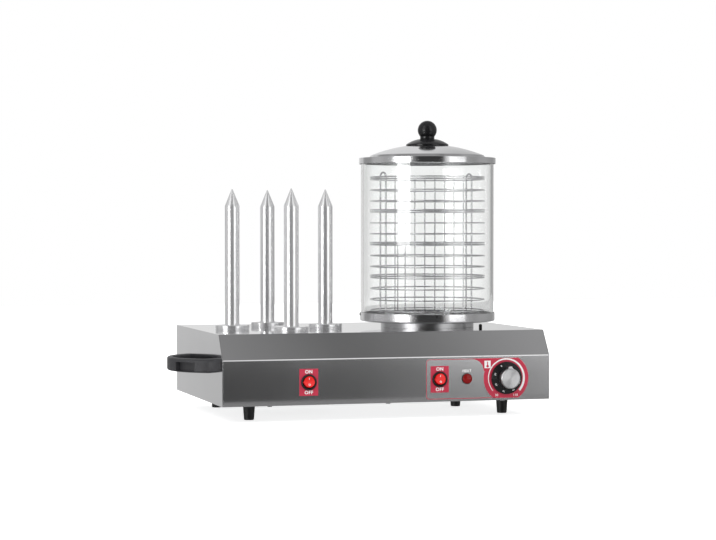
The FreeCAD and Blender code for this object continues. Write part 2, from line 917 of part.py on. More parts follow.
def base_collar():
    """The stand ring between the top plate and the basin's flange."""
    bore = "(basin_radius + hole_gap)"
    return at_steamer(tube("base_collar", "stand_radius", bore, "0", "(stand_height - sheet_steel)"))


def tray():
    """The drip tray that carries the glass and the basket."""
    hole = "(basin_radius - sheet_steel)"
    edge = "(tray_radius - tray_corner)"
    inside = "(tray_radius - sheet_steel)"
    bend_top = "(stand_height + tray_corner)"
    body = turned("tray", [
        (hole, "stand_height"),
        (edge, "stand_height", "tray_corner", "left"),
        ("tray_radius", bend_top),
        ("tray_radius", "tray_top"),
        (inside, "tray_top"),
        (inside, bend_top, "(tray_corner - sheet_steel)", "right"),
        (edge, TRAY_FLOOR),
        (hole, TRAY_FLOOR),
    ])
    hole_spot = [("0", "(tray_top - stud_drop)", "(stud_radius + thread_gap)")]
    drawn = circles(new_sketch(body, "XZ_Plane"), hole_spot)
    cut = pocket(body, drawn, "2 * tray_radius", backwards=True)
    pattern = body.newObject("PartDesign::PolarPattern", "StudHoles")
    pattern.Originals = [cut]
    pattern.Axis = ([item for item in body.Origin.OriginFeatures if item.Role == "Z_Axis"][0], [""])
    pattern.Angle = 360
    bind(pattern, "Occurrences", "stud_count")
    body.Tip = pattern
    at_steamer(body, Rotation(Vector(0, 0, 1), 1))
    bind(body, "Placement.Rotation.Angle", "-stud_turn")
    return body


def tray_studs():
    """Small buttons through the tray's rim that centre the glass."""
    members = []
    for step in range(int(value("stud_count"))):
        one = turned(f"tray_stud_{step}", [
            ("0", "(glass_radius + hole_gap)"),
            ("stud_radius", "(glass_radius + hole_gap)"),
            ("stud_radius", "(tray_radius + weld_gap)"),
            ("stud_head", "(tray_radius + weld_gap)"),
            ("stud_head", "(tray_radius + stud_reach)"),
            ("0", "(tray_radius + stud_reach)"),
        ])
        angle = value("stud_turn")
        heading = Rotation(Vector(0, 0, 1), 360 * step / value("stud_count") - angle)
        at_steamer(one, heading.multiply(TO_FRONT))
        bind(one, "Placement.Base.z", f"({TOP} + tray_top - stud_drop)")
        members.append(one)
    return group("tray_studs", members)


def top_plug():
    """A small plug in the top plate beside the steamer."""
    stem = "(plug_stem)"
    body = turned("top_plug", [
        ("0", "-plug_tail"),
        (stem, "-plug_tail"),
        (stem, "0"),
        ("plug_radius", "0"),
        ("plug_radius", "(plug_height - plug_radius / 2)"),
        ("(plug_radius / 2)", "plug_height"),
        ("0", "plug_height"),
    ])
    return place(body, PLUG_X, PLUG_Y, TOP)


# Glass

def glass_seal():
    top = f"({TRAY_FLOOR} + glass_seal_height)"
    return at_steamer(tube("glass_seal", "glass_seal_outer", "glass_seal_inner", TRAY_FLOOR, top))


def glass_cylinder():
    inner = "(glass_radius - glass_wall)"
    return at_steamer(tube("glass_cylinder", "glass_radius", inner, GLASS_BASE, GLASS_TOP))


def lid_seal():
    inner = "(glass_radius - glass_wall)"
    return at_steamer(tube("lid_seal", "glass_radius", inner, GLASS_TOP, LID_SHOULDER))


# Basket

def ring_of_wire(name, radius, wire, height):
    """One closed wire hoop round the steamer's axis."""
    ring = doc.addObject("Part::Torus", name)
    ring.Label = name
    bind(ring, "Radius1", radius)
    bind(ring, "Radius2", wire)
    return place(ring, STEAMER_X, MIDDLE, f"({TOP} + {height})")


def straight_wire(name, wire, length, x, y, z, direction=None):
    """One straight wire that starts at the given place, measured from the steamer's axis."""
    one = doc.addObject("Part::Cylinder", name)
    one.Label = name
    bind(one, "Radius", wire)
    bind(one, "Height", length)
    return place(one, f"({STEAMER_X} + {x})", f"({MIDDLE} + {y})", f"({TOP} + {z})", direction)


def basket_rings():
    """Evenly spaced rings down from the top one, and the lowest ring a shorter step below."""
    members = [ring_of_wire("basket_ring_0", "basket_radius", "ring_wire", LOWEST_RING)]
    for step in range(1, int(value("ring_count"))):
        height = f"({HIGHEST_RING} - (ring_count - 1 - {step}) * basket_pitch)"
        members.append(ring_of_wire(f"basket_ring_{step}", "basket_radius", "ring_wire", height))
    return group("basket_rings", members)


def basket_hoops():
    """Extra hoops just above every third ring, counted from the top."""
    members = []
    for step in range(int(value("hoop_count"))):
        height = f"({HIGHEST_RING} - {step} * hoop_every * basket_pitch + hoop_rise)"
        members.append(ring_of_wire(f"basket_hoop_{step}", "basket_radius", "ring_wire", height))
    return group("basket_hoops", members)


def upright_turns():
    """Where the uprights stand: along the rear, with a pair at one end, and one in front."""
    sides = int(value("rear_uprights_each_side"))
    turns = []
    for step in range(-sides, sides):
        turns.append(f"(rear_upright_middle + {step} * rear_upright_step)")
    last = "rear_upright_middle + rear_uprights_each_side * rear_upright_step"
    turns.append(f"({last} - paired_upright_step)")
    turns.append(f"({last} + paired_upright_step)")
    turns.append("front_upright_turn")
    return turns


def basket_uprights():
    """Upright wires just inside the rings."""
    members = []
    low = f"({LOWEST_RING} - ring_wire)"
    length = f"({HIGHEST_RING} - {LOWEST_RING} + ring_wire + upright_rise)"
    for number, turn in enumerate(upright_turns()):
        x = f"{UPRIGHT_RADIUS} * cos({turn})"
        y = f"{UPRIGHT_RADIUS} * sin({turn})"
        one = straight_wire(f"basket_upright_{number}", "upright_wire", length, x, y, low)
        members.append(one)
    return group("basket_uprights", members)


def basket_floor():
    """A floor ring inside the uprights, with two layers of crossing wires on it."""
    members = [ring_of_wire("floor_ring", FLOOR_RING, "ring_wire", LOWEST_RING)]
    count = int(value("floor_each_side"))
    lower = f"({LOWEST_RING} + 2 * ring_wire + weld_gap)"
    upper = f"({LOWEST_RING} + 4 * ring_wire + 2 * weld_gap)"
    for step in range(-count, count + 1):
        offset = f"({step} * floor_pitch)"
        half = f"sqrt({FLOOR_RING}^2 - {offset}^2)"
        members.append(straight_wire(
            f"floor_wire_across_{step + count}",
            "ring_wire",
            f"2 * {half}",
            f"(-{half})",
            offset,
            lower,
            TO_RIGHT,
        ))
        members.append(straight_wire(
            f"floor_wire_along_{step + count}",
            "ring_wire",
            f"2 * {half}",
            offset,
            f"(-{half})",
            upper,
            TO_BACK,
        ))
    return group("basket_floor", members)


def basket_ear(name, turn):
    """A tall upside-down U of wire, from the floor ring to above the top ring, to lift by."""
    reach = "sqrt((basket_radius - ring_wire - weld_gap - ear_wire)^2 - (ear_width / 2)^2)"
    low = f"({LOWEST_RING} + ring_wire + weld_gap)"
    bend = f"({HIGHEST_RING} + ear_top - ear_wire - ear_width / 2)"
    heading = Rotation(Vector(0, 0, 1), value("ear_turn") + turn)
    angle = f"(ear_turn + {turn})"
    parts = []
    for side in ("+", "-"):
        leg = doc.addObject("Part::Cylinder", f"{name}_leg")
        bind(leg, "Radius", "ear_wire")
        bind(leg, "Height", f"{bend} - {low}")
        place(
            leg,
            f"({STEAMER_X} + {reach} * cos({angle}) {side} ear_width / 2 * sin({angle}))",
            f"({MIDDLE} + {reach} * sin({angle}) - (0 {side} ear_width / 2) * cos({angle}))",
            f"({TOP} + {low})",
        )
        parts.append(leg)
    arch = doc.addObject("Part::Torus", f"{name}_arch")
    bind(arch, "Radius1", "ear_width / 2")
    bind(arch, "Radius2", "ear_wire")
    arch.Angle3 = 180
    across = heading.multiply(Rotation(Vector(1, 1, 1), 120))
    place(
        arch,
        f"({STEAMER_X} + {reach} * cos({angle}))",
        f"({MIDDLE} + {reach} * sin({angle}))",
        f"({TOP} + {bend})",
        across,
    )
    parts.append(arch)
    whole = doc.addObject("Part::MultiFuse", name)
    whole.Label = name
    whole.Shapes = parts
    whole.Refine = True
    return whole


def basket_ears():
    return group("basket_ears", [basket_ear("basket_ear_near", 0), basket_ear("basket_ear_far", 180)])


# Lid

def dome_height(radius, at):
    """The height, at a distance from the axis, of a dome with the lid's centre."""
    return f"({DOME_CENTRE} + sqrt({radius}^2 - {at}^2))"


def lid_shell():
    """The domed steel lid, and the strip welded to its edge that hangs round the glass."""
    shoulder = f"({LID_SHOULDER} + sheet_steel)"
    band_base = f"({shoulder} - band_height)"
    band_inner = "(band_radius - band_sheet)"
    rim = f"({band_inner} - weld_gap)"
    edge_inner = "(dome_edge_radius - sheet_steel)"
    dome = turned("lid_shell_dome", [
        (SCREW_HOLE, dome_height(DOME_RADIUS, SCREW_HOLE), DOME_RADIUS, "right"),
        ("dome_edge_radius", DOME_EDGE),
        ("shoulder_inner", shoulder),
        (rim, shoulder),
        (rim, LID_SHOULDER),
        ("(shoulder_inner - sheet_steel)", LID_SHOULDER),
        (edge_inner, dome_height(DOME_INSIDE, edge_inner), DOME_INSIDE, "left"),
        (SCREW_HOLE, dome_height(DOME_INSIDE, SCREW_HOLE)),
    ])
    band = turned("lid_shell_band", [
        (band_inner, band_base),
        ("band_radius", band_base),
        ("band_radius", f"({shoulder} - band_sheet / 2)"),
        ("(band_radius - band_sheet / 2)", shoulder),
        (band_inner, shoulder),
    ])
    return group("lid_shell", [at_steamer(dome), at_steamer(band)])


def lid_knob_skirt():
    """The domed disc under the lid's knob; its underside follows the dome."""
    rim = dome_height(DOME_OUTSIDE, "skirt_radius")
    body = turned("lid_knob_skirt", [
        (SCREW_HOLE, dome_height(DOME_OUTSIDE, SCREW_HOLE), DOME_OUTSIDE, "right"),
        ("skirt_radius", rim),
        ("skirt_radius", f"({rim} + skirt_rim)", "skirt_round", "left"),
        ("neck_radius", NECK_BASE),
        (SCREW_HOLE, NECK_BASE),
    ])
    return at_steamer(body)


def lid_knob():
    """A ball on a short neck, tapped for the lid's screw."""
    ball_base = f"({NECK_BASE} + neck_rise)"
    ball_top = f"({ball_base} + sqrt(ball_radius^2 - neck_radius^2) + ball_radius)"
    bore = "(lid_screw_radius + thread_gap)"
    bore_top = f"({NECK_BASE} + lid_screw_grip + hole_gap)"
    body = turned("lid_knob", [
        (bore, NECK_BASE),
        ("neck_radius", NECK_BASE),
        ("neck_radius", ball_base, "ball_radius", "left"),
        ("0", ball_top),
        ("0", bore_top),
        (bore, bore_top),
    ])
    return at_steamer(body)


def lid_screw():
    """The screw that holds the knob from inside the lid."""
    seat = f"({dome_height(DOME_INSIDE, 'lid_screw_head')} - weld_gap)"
    body = turned("lid_screw", [
        ("0", f"({seat} - lid_screw_head_height)"),
        ("lid_screw_head", f"({seat} - lid_screw_head_height)"),
        ("lid_screw_head", seat),
        ("lid_screw_radius", seat),
        ("lid_screw_radius", f"({NECK_BASE} + lid_screw_grip)"),
        ("0", f"({NECK_BASE} + lid_screw_grip)"),
    ])
    return at_steamer(body)


# Heating

def heating_element():
    """A ring-shaped heater pressed against the basin's underside."""
    height = "(-basin_depth - weld_gap - element_tube)"
    return ring_of_wire("heating_element", "element_radius", "element_tube", height)


def heater_plate():
    """The clamp plate under the heater, with a post that meets the basin."""
    low = "(-basin_depth - 2 * element_tube - 2 * weld_gap)"
    body = turned("heater_plate", [
        ("0", f"({low} - clamp_thickness)"),
        ("clamp_radius", f"({low} - clamp_thickness)"),
        ("clamp_radius", low),
        ("clamp_post", low),
        ("clamp_post", "-basin_depth"),
        ("0", "-basin_depth"),
    ])
    return at_steamer(body)


def sensor_bulb():
    """The thermostat's bulb, clipped upright against the basin's wall."""
    body = rod("sensor_bulb", "bulb_radius", "(-bulb_drop - bulb_length)", "-bulb_drop")
    front = f"({MIDDLE} - basin_radius - hole_gap - bulb_radius)"
    return place(body, STEAMER_X, front, TOP)


# Front controls

def on_front(body, x, stand_off="0", rotation=None):
    """Puts a piece on the front face, centred on the row of controls."""
    return place(body, f"({LEFT} + {x})", f"({FRONT} - {stand_off})", CONTROL_LEVEL, rotation)


def control_label():
    """The printed label, round at the right where it frames the dial."""
    body = new_body("control_label")
    half = "(label_height / 2)"
    corner = "(label_left + label_corner)"
    turn = f"(dial_x + sqrt(dial_radius^2 - {half}^2))"
    sketch = outline(new_sketch(body, "XZ_Plane"), [
        (corner, f"-{half}"),
        (turn, f"-{half}", "dial_radius", "left"),
        (turn, half),
        (corner, half, "label_corner", "left"),
        ("label_left", f"({half} - label_corner)"),
        ("label_left", f"(label_corner - {half})", "label_corner", "left"),
    ])
    circles(sketch, [
        ("switch_two_x", "0", BARREL_HOLE),
        ("lamp_x", "0", "(lamp_barrel + hole_gap)"),
        ("dial_x", "0", "shaft_hole"),
    ])
    pad(body, sketch, "label_sheet")
    return on_front(body, "0")


def switch_plate(name, x, stand_off):
    """The small plate behind one switch."""
    body = new_body(name)
    half_width = "(switch_plate_width / 2)"
    half_height = "(switch_plate_height / 2)"
    sketch = outline(new_sketch(body, "XZ_Plane"), [
        (f"-{half_width}", f"-{half_height}"),
        (half_width, f"-{half_height}"),
        (half_width, half_height),
        (f"-{half_width}", half_height),
    ])
    circles(sketch, [("0", "0", BARREL_HOLE)])
    pad(body, sketch, "label_sheet")
    return on_front(body, x, stand_off)


def switch_labels():
    return group("switch_labels", [
        switch_plate("switch_plate_one", "switch_one_x", "0"),
        switch_plate("switch_plate_two", "switch_two_x", "label_sheet"),
    ])


def switch_body(name, x, stand_off):
    """A round switch: a rim on the plate and a barrel through the panel."""
    front = "bezel_height"
    body = turned(name, [
        ("0", "-barrel_depth"),
        ("barrel_radius", "-barrel_depth"),
        ("barrel_radius", "0"),
        ("bezel_radius", "0"),
        ("bezel_radius", f"({front} - bezel_bevel)"),
        ("(bezel_radius - bezel_bevel)", front),
        ("barrel_bore", front),
        ("barrel_bore", "-barrel_bore_depth"),
        ("0", "-barrel_bore_depth"),
    ])
    socket = [("0", f"({front} - rocker_pivot)", "(pin_radius + pin_gap)")]
    drawn = circles(new_sketch(body, "YZ_Plane"), socket)
    pocket(body, drawn, "2 * (barrel_bore + pin_engage + pin_gap)", midplane=True)
    return on_front(body, x, stand_off, TO_FRONT)


def switch_rocker(name, x, stand_off):
    """The rocker, with a V across its face and a pin at each side."""
    body = new_body(name)
    sketch = circles(new_sketch(body, "XY_Plane", "-rocker_back"), [("0", "0", "rocker_radius")])
    pad(body, sketch, "rocker_back + rocker_front")
    valley = outline(new_sketch(body, "YZ_Plane"), [
        ("-rocker_radius", "rocker_front"),
        ("0", "(rocker_front - rocker_dish)"),
        ("rocker_radius", "rocker_front"),
    ])
    pocket(body, valley, "4 * rocker_radius", midplane=True)
    pins = circles(new_sketch(body, "YZ_Plane"), [("0", "0", "pin_radius")])
    pad(body, pins, "2 * (barrel_bore + pin_engage)", midplane=True)
    forward = f"({stand_off} + bezel_height - rocker_pivot)"
    on_front(body, x, forward, Rotation(Vector(1, 0, 0), 1))
    bind(body, "Placement.Rotation.Angle", "90 - rocker_tilt")
    return body


def lamp_body():
    """The pilot lamp's holder, through the label and the panel."""
    body = turned("lamp_body", [
        ("0", "-lamp_depth"),
        ("lamp_barrel", "-lamp_depth"),
        ("lamp_barrel", "0"),
        ("lamp_radius", "0"),
        ("lamp_radius", "lamp_edge"),
        ("0", "lamp_edge"),
    ])
    return on_front(body, "lamp_x", "label_sheet", TO_FRONT)


def lamp_lens():
    """The pilot lamp's domed lens."""
    dome = "((lens_radius^2 + lens_dome^2) / (2 * lens_dome))"
    body = turned("lamp_lens", [
        ("0", "0"),
        ("lens_radius", "0"),
        ("lens_radius", "lens_rim", dome, "left"),
        ("0", "(lens_rim + lens_dome)"),
    ])
    return on_front(body, "lamp_x", "(label_sheet + lamp_edge)", TO_FRONT)


def thermostat_body():
    """The thermostat's case against the inside of the front panel."""
    body = new_body("thermostat_body")
    half_width = "(thermostat_width / 2)"
    half_height = "(thermostat_height / 2)"
    sketch = outline(new_sketch(body, "XZ_Plane"), [
        (f"-{half_width}", f"-{half_height}"),
        (half_width, f"-{half_height}"),
        (half_width, half_height),
        (f"-{half_width}", half_height),
    ])
    pad(body, sketch, "thermostat_depth", backwards=True)
    bore = circles(new_sketch(body, "XZ_Plane"), [("0", "0", "(shaft_radius + pin_gap)")])
    pocket(body, bore, "thermostat_bore")
    return on_front(body, "dial_x", "(-sheet_steel)")


def thermostat_shaft():
    """The spindle that joins the knob to the thermostat."""
    low = "(-sheet_steel - thermostat_bore + hole_gap)"
    high = "(label_sheet + knob_gap + knob_depth + hub_length - hole_gap)"
    return on_front(rod("thermostat_shaft", "shaft_radius", low, high), "dial_x", "0", TO_FRONT)


def thermostat_knob():
    """The black dial: a wide sloping skirt and a hub."""
    bore = "(shaft_radius + thread_gap)"
    body = turned("thermostat_knob", [
        (bore, "0"),
        ("knob_radius", "0"),
        ("knob_radius", "knob_edge"),
        ("knob_slope_radius", "knob_depth"),
        ("hub_radius", "knob_depth"),
        ("hub_radius", "(knob_depth + hub_length)"),
        (bore, "(knob_depth + hub_length)"),
    ])
    return on_front(body, "dial_x", "(label_sheet + knob_gap)", TO_FRONT)


def knob_cap():
    """The metal cap over the dial's hub, with a nose that points to the setting."""
    bore = "(hub_radius + thread_gap)"
    roof = "(hub_length + weld_gap)"
    body = turned("knob_cap", [
        (bore, "0"),
        ("cap_radius", "0"),
        ("cap_radius", "(cap_length - cap_bevel)"),
        ("(cap_radius - cap_bevel)", "cap_length"),
        ("0", "cap_length"),
        ("0", roof),
        (bore, roof),
    ])
    half = "(nose_width / 2)"
    root = "(hub_radius + 2 * thread_gap)"
    tip = "(cap_radius + nose_reach)"
    sketch = outline(new_sketch(body, "XY_Plane"), [
        (f"-{half}", root),
        (half, root),
        (f"({half} / 3)", tip),
        (f"-({half} / 3)", tip),
    ])
    pad(body, sketch, "cap_length - cap_bevel")
    return on_front(body, "dial_x", "(label_sheet + knob_gap + knob_depth)", TO_FRONT)


# Supply

def cable_gland():
    """The cable gland in the rear wall, with its lock nut inside."""
    neck = "(gland_nut_height + gland_dome / 3)"
    body = turned("gland_nose", [
        ("gland_bore", "-gland_tail"),
        ("gland_thread", "-gland_tail"),
        ("gland_thread", "0"),
        ("gland_nut", "0"),
        ("gland_nut", "gland_nut_height"),
        ("gland_dome", neck),
        ("gland_thread", "gland_reach"),
        ("gland_bore", "gland_reach"),
    ])
    rear = f"({FRONT} + body_depth)"
    place(body, f"({LEFT} + gland_x)", rear, "(foot_height + gland_rise)", TO_BACK)
    bore = "(gland_thread + thread_gap)"
    nut = hex_nut("gland_lock_nut", "gland_lock_nut", bore, "gland_lock_height")
    inside = f"({rear} - sheet_steel - gland_lock_height)"
    place(nut, f"({LEFT} + gland_x)", inside, "(foot_height + gland_rise)", TO_BACK)
    return group("cable_gland", [body, nut])


def terminal_block():
    """The terminal block on the base plate, in front of the gland."""
    body = new_body("terminal_block")
    sketch = outline(new_sketch(body, "XY_Plane"), [
        ("(-block_width / 2)", "(-block_depth / 2)"),
        ("(block_width / 2)", "(-block_depth / 2)"),
        ("(block_width / 2)", "(block_depth / 2)"),
        ("(-block_width / 2)", "(block_depth / 2)"),
    ])
    pad(body, sketch, "block_height")
    holes = [(f"({step} * block_hole_pitch)", "0", "block_hole") for step in (-1, 0, 1)]
    drawn = circles(new_sketch(body, "XY_Plane", "block_height"), holes)
    pocket(body, drawn, "block_height / 2")
    y = f"({FRONT} + body_depth - sheet_steel - lip_depth - block_gap)"
    return place(body, f"({LEFT} + gland_x)", y, "(foot_height + sheet_steel)")


def build():
    """Makes every sub-part and gives them back in order."""
    nodes = [
        housing_shell(),
        side_panel("side_panel_left", LEFT),
        side_panel("side_panel_right", "(body_width / 2 - sheet_steel)"),
        base_plate(),
        base_screws(),
    ]
    nodes += [foot(name, x, y) for name, (x, y) in foot_spots().items()]
    nodes += [foot_screws(), left_handle(), right_handle(), handle_screws()]
    for number, (x, y) in enumerate(spike_spots(), start=1):
        nodes.append(spike(number, x, y))
        nodes.append(spike_collar(number, x, y))
        nodes.append(spike_heater(number, x, y))
    nodes += [
        spike_nuts(),
        boiler_basin(),
        base_collar(),
        tray(),
        tray_studs(),
        top_plug(),
        glass_seal(),
        glass_cylinder(),
        basket_rings(),
        basket_hoops(),
        basket_uprights(),
        basket_floor(),
        basket_ears(),
        lid_seal(),
        lid_shell(),
        lid_knob_skirt(),
        lid_knob(),
        lid_screw(),
        heating_element(),
        heater_plate(),
        sensor_bulb(),
        control_label(),
        switch_labels(),
        switch_body("switch_body_1", "switch_one_x", "label_sheet"),
        switch_rocker("switch_rocker_1", "switch_one_x", "label_sheet"),
        switch_body("switch_body_2", "switch_two_x", "(2 * label_sheet)"),
        switch_rocker("switch_rocker_2", "switch_two_x", "(2 * label_sheet)"),
        lamp_body(),
        lamp_lens(),
        thermostat_body(),
        thermostat_shaft(),
        thermostat_knob(),
        knob_cap(),
        cable_gland(),
        terminal_block(),
    ]
    return nodes


parts = build()
doc.recompute()

os.makedirs("parts", exist_ok=True)
for item in doc.Objects:
    if "Invalid" in item.State or "Error" in item.State:
        raise RuntimeError(f"{item.Label} did not build")
for part in parts:
    if part.Shape.isNull() or not part.Shape.isValid():
        raise RuntimeError(f"{part.Label} has no sound shape")
    part.Shape.exportStep(f"parts/{part.Label}.step")
print(len(parts), "sub-parts written")
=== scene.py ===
"""The looks of the hot dog toaster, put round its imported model.

Blender works in metres. Lengths below are in millimetres and pass through mm().
"""

import json
import math

import bmesh
import bpy
from mathutils import Matrix, Vector

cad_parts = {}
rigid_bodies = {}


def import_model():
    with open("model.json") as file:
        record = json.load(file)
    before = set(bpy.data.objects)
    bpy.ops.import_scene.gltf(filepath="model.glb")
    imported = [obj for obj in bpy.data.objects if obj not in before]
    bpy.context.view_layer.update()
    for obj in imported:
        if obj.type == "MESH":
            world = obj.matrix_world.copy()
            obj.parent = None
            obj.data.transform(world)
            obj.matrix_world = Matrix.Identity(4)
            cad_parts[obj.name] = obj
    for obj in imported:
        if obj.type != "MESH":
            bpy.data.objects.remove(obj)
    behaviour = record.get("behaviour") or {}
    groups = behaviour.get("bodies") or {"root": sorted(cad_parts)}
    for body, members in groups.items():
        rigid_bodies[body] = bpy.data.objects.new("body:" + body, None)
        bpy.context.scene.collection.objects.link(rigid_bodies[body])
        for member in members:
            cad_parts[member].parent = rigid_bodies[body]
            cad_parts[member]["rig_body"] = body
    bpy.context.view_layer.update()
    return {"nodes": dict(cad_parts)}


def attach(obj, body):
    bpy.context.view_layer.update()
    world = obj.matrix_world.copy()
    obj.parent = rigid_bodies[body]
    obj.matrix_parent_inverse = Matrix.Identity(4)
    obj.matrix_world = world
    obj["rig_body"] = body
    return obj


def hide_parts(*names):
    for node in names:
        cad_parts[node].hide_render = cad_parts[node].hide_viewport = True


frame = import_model()
NODES = frame["nodes"]

# Shared places and sizes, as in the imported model
LEFT = -244.0
RIGHT = 244.0
FRONT = -155.4
REAR = FRONT + 315.0
MIDDLE = 2.1
BASE = 24.0
TOP = 124.0
FRONT_FOLD = BASE + 64.5
CONTROL_RISE = 32.25
CONTROL_Z = BASE + CONTROL_RISE

SPIKE_X = -122.0
SPIKE_SPREAD = 71.0

STEAMER_X = 109.0
SEAL_HEIGHT = 1.5
TRAY_FLOOR = TOP + 10.2
GLASS_BASE = TRAY_FLOOR + SEAL_HEIGHT
GLASS_TOP = GLASS_BASE + 240.0

RINGS = 14
RING_STEP = 16.43
LOWEST_RING = TRAY_FLOOR + 1.2
HIGHEST_RING = LOWEST_RING + 13.7 + (RINGS - 2) * RING_STEP
BASKET_RADIUS = 86.0
WIRE_RADIUS = 1.0
WIRE_GAP = 0.05
INSIDE_RINGS = BASKET_RADIUS - WIRE_RADIUS - WIRE_GAP

SHOULDER = GLASS_TOP + SEAL_HEIGHT
LID_SHEET = 1.2
LID_BORE = 2.8
DOME_REACH = 85.3
DOME_RISE = 16.5
DOME_TOP = SHOULDER + 5.2 + DOME_RISE
DOME_RADIUS = (DOME_REACH**2 + DOME_RISE**2) / (2 * DOME_RISE)


def mm(value):
    return value / 1000.0


# Materials

# Depths of fine lines and of moulded grain, in metres
HAIRLINE = 0.0001
GRAIN_DEPTH = 0.00006
# Where nearly all of a noise texture's values lie
NOISE_LOW, NOISE_HIGH = 0.3, 0.7


def feed(tree, socket, value):
    """Links a socket to another, or sets it to a plain number."""
    if isinstance(value, bpy.types.NodeSocket):
        tree.links.new(value, socket)
    else:
        socket.default_value = value


def maths(tree, operation, *values):
    node = tree.nodes.new("ShaderNodeMath")
    node.operation = operation
    for socket, value in zip(node.inputs, values):
        feed(tree, socket, value)
    return node.outputs[0]


def set_ramp(node, stops):
    """Gives a colour ramp its (position, colour) stops."""
    elements = node.color_ramp.elements
    while len(elements) < len(stops):
        elements.new(0.5)
    for element, (at, colour) in zip(elements, stops):
        element.position = at
        element.color = (*colour, 1.0)


class Look:
    """A node-based material under construction."""

    def __init__(self, name):
        self.material = bpy.data.materials.new(name)
        self.material.use_nodes = True
        self.tree = self.material.node_tree
        self.tree.nodes.clear()
        out = self.add("ShaderNodeOutputMaterial")
        self.shader = self.add("ShaderNodeBsdfPrincipled")
        self.link(self.shader.outputs[0], out.inputs["Surface"])
        self.place = self.add("ShaderNodeTexCoord").outputs["Object"]

    def add(self, kind, **settings):
        node = self.tree.nodes.new(kind)
        for key, value in settings.items():
            setattr(node, key, value)
        return node

    def link(self, source, target):
        self.tree.links.new(source, target)

    def set(self, **values):
        for key, value in values.items():
            self.shader.inputs[key.replace("_", " ")].default_value = value
        return self

    def noise(self, scale, detail=3.0, rough=0.55, stretch=(1, 1, 1)):
        mapping = self.add("ShaderNodeMapping")
        mapping.inputs["Scale"].default_value = stretch
        self.link(self.place, mapping.inputs["Vector"])
        node = self.add("ShaderNodeTexNoise")
        node.inputs["Scale"].default_value = scale
        node.inputs["Detail"].default_value = detail
        node.inputs["Roughness"].default_value = rough
        self.link(mapping.outputs[0], node.inputs["Vector"])
        return node.outputs["Fac"]

    def vary(self, fac, first, second):
        """Base colour that drifts between two near tones."""
        node = self.add("ShaderNodeValToRGB")
        set_ramp(node, [(NOISE_LOW, first), (NOISE_HIGH, second)])
        self.link(fac, node.inputs["Fac"])
        self.link(node.outputs["Color"], self.shader.inputs["Base Color"])

    def rough(self, fac, low, high):
        """Roughness that drifts between two values."""
        node = self.add("ShaderNodeMapRange")
        node.inputs["From Min"].default_value = NOISE_LOW
        node.inputs["From Max"].default_value = NOISE_HIGH
        node.inputs["To Min"].default_value = low
        node.inputs["To Max"].default_value = high
        self.link(fac, node.inputs["Value"])
        self.link(node.outputs[0], self.shader.inputs["Roughness"])

    def bump(self, height, strength, distance=HAIRLINE):
        node = self.add("ShaderNodeBump")
        node.inputs["Strength"].default_value = strength
        node.inputs["Distance"].default_value = distance
        self.link(height, node.inputs["Height"])
        self.link(node.outputs[0], self.shader.inputs["Normal"])


def lighter(tone, share):
    return tuple(min(1.0, value * share) for value in tone)


def steel(name, tone, low, high, stretch, scale=900.0, bump=0.02):
    """Stainless steel: fine lines along one direction, faint cloudy wear in its gloss."""
    look = Look(name).set(Metallic=1.0, Specular_IOR_Level=0.5)
    cloud = look.noise(6.0, 4.0)
    lines = look.noise(scale, 2.0, 0.6, stretch)
    look.vary(cloud, tone, lighter(tone, 1.05))
    wear = maths(look.tree, "MULTIPLY", cloud, 0.4)
    look.rough(maths(look.tree, "MULTIPLY_ADD", lines, 0.6, wear), low, high)
    look.bump(lines, bump)
    return look.material


def turned_metal(name, tone, low, high, bump=0.03, metallic=1.0):
    """Lathe-turned metal: fine rings, one above the other."""
    look = Look(name).set(Metallic=metallic)
    rings = look.noise(1600.0, 2.0, 0.6, (0.02, 0.02, 1.0))
    look.vary(look.noise(18.0), tone, lighter(tone, 1.04))
    look.rough(rings, low, high)
    look.bump(rings, bump)
    return look.material


def faced_metal(name, tone, rough):
    """A turned end face: fine rings that throw cone-like highlights from its middle."""
    look = Look(name).set(Metallic=1.0, Anisotropic=0.85, Roughness=rough)
    look.vary(look.noise(30.0), tone, lighter(tone, 1.04))
    around = look.add("ShaderNodeTangent", direction_type="RADIAL", axis="Y")
    look.link(around.outputs[0], look.shader.inputs["Tangent"])
    return look.material


def plastic(name, first, second, low, high, grain=2600.0, bump=0.25):
    """Moulded plastic: fine grain, slight tone drift and finger-dulled gloss."""
    look = Look(name).set(Specular_IOR_Level=0.5)
    fine = look.noise(grain, 2.0)
    cloud = look.noise(22.0, 4.0)
    look.vary(cloud, first, second)
    look.rough(cloud, low, high)
    look.bump(fine, bump, GRAIN_DEPTH)
    return look.material


def glass(name):
    look = Look(name).set(Transmission_Weight=1.0, IOR=1.45, Roughness=0.0, Specular_IOR_Level=0.5)
    look.vary(look.noise(4.0, 2.0), (0.985, 0.995, 0.99), (1.0, 1.0, 1.0))
    return look.material


def clear_plastic(name, first, second, weight):
    """Tinted see-through plastic with a faint inner unevenness."""
    look = Look(name).set(Transmission_Weight=weight, IOR=1.47, Roughness=0.12)
    look.vary(look.noise(140.0), first, second)
    look.bump(look.noise(420.0, 2.0), 0.1)
    return look.material


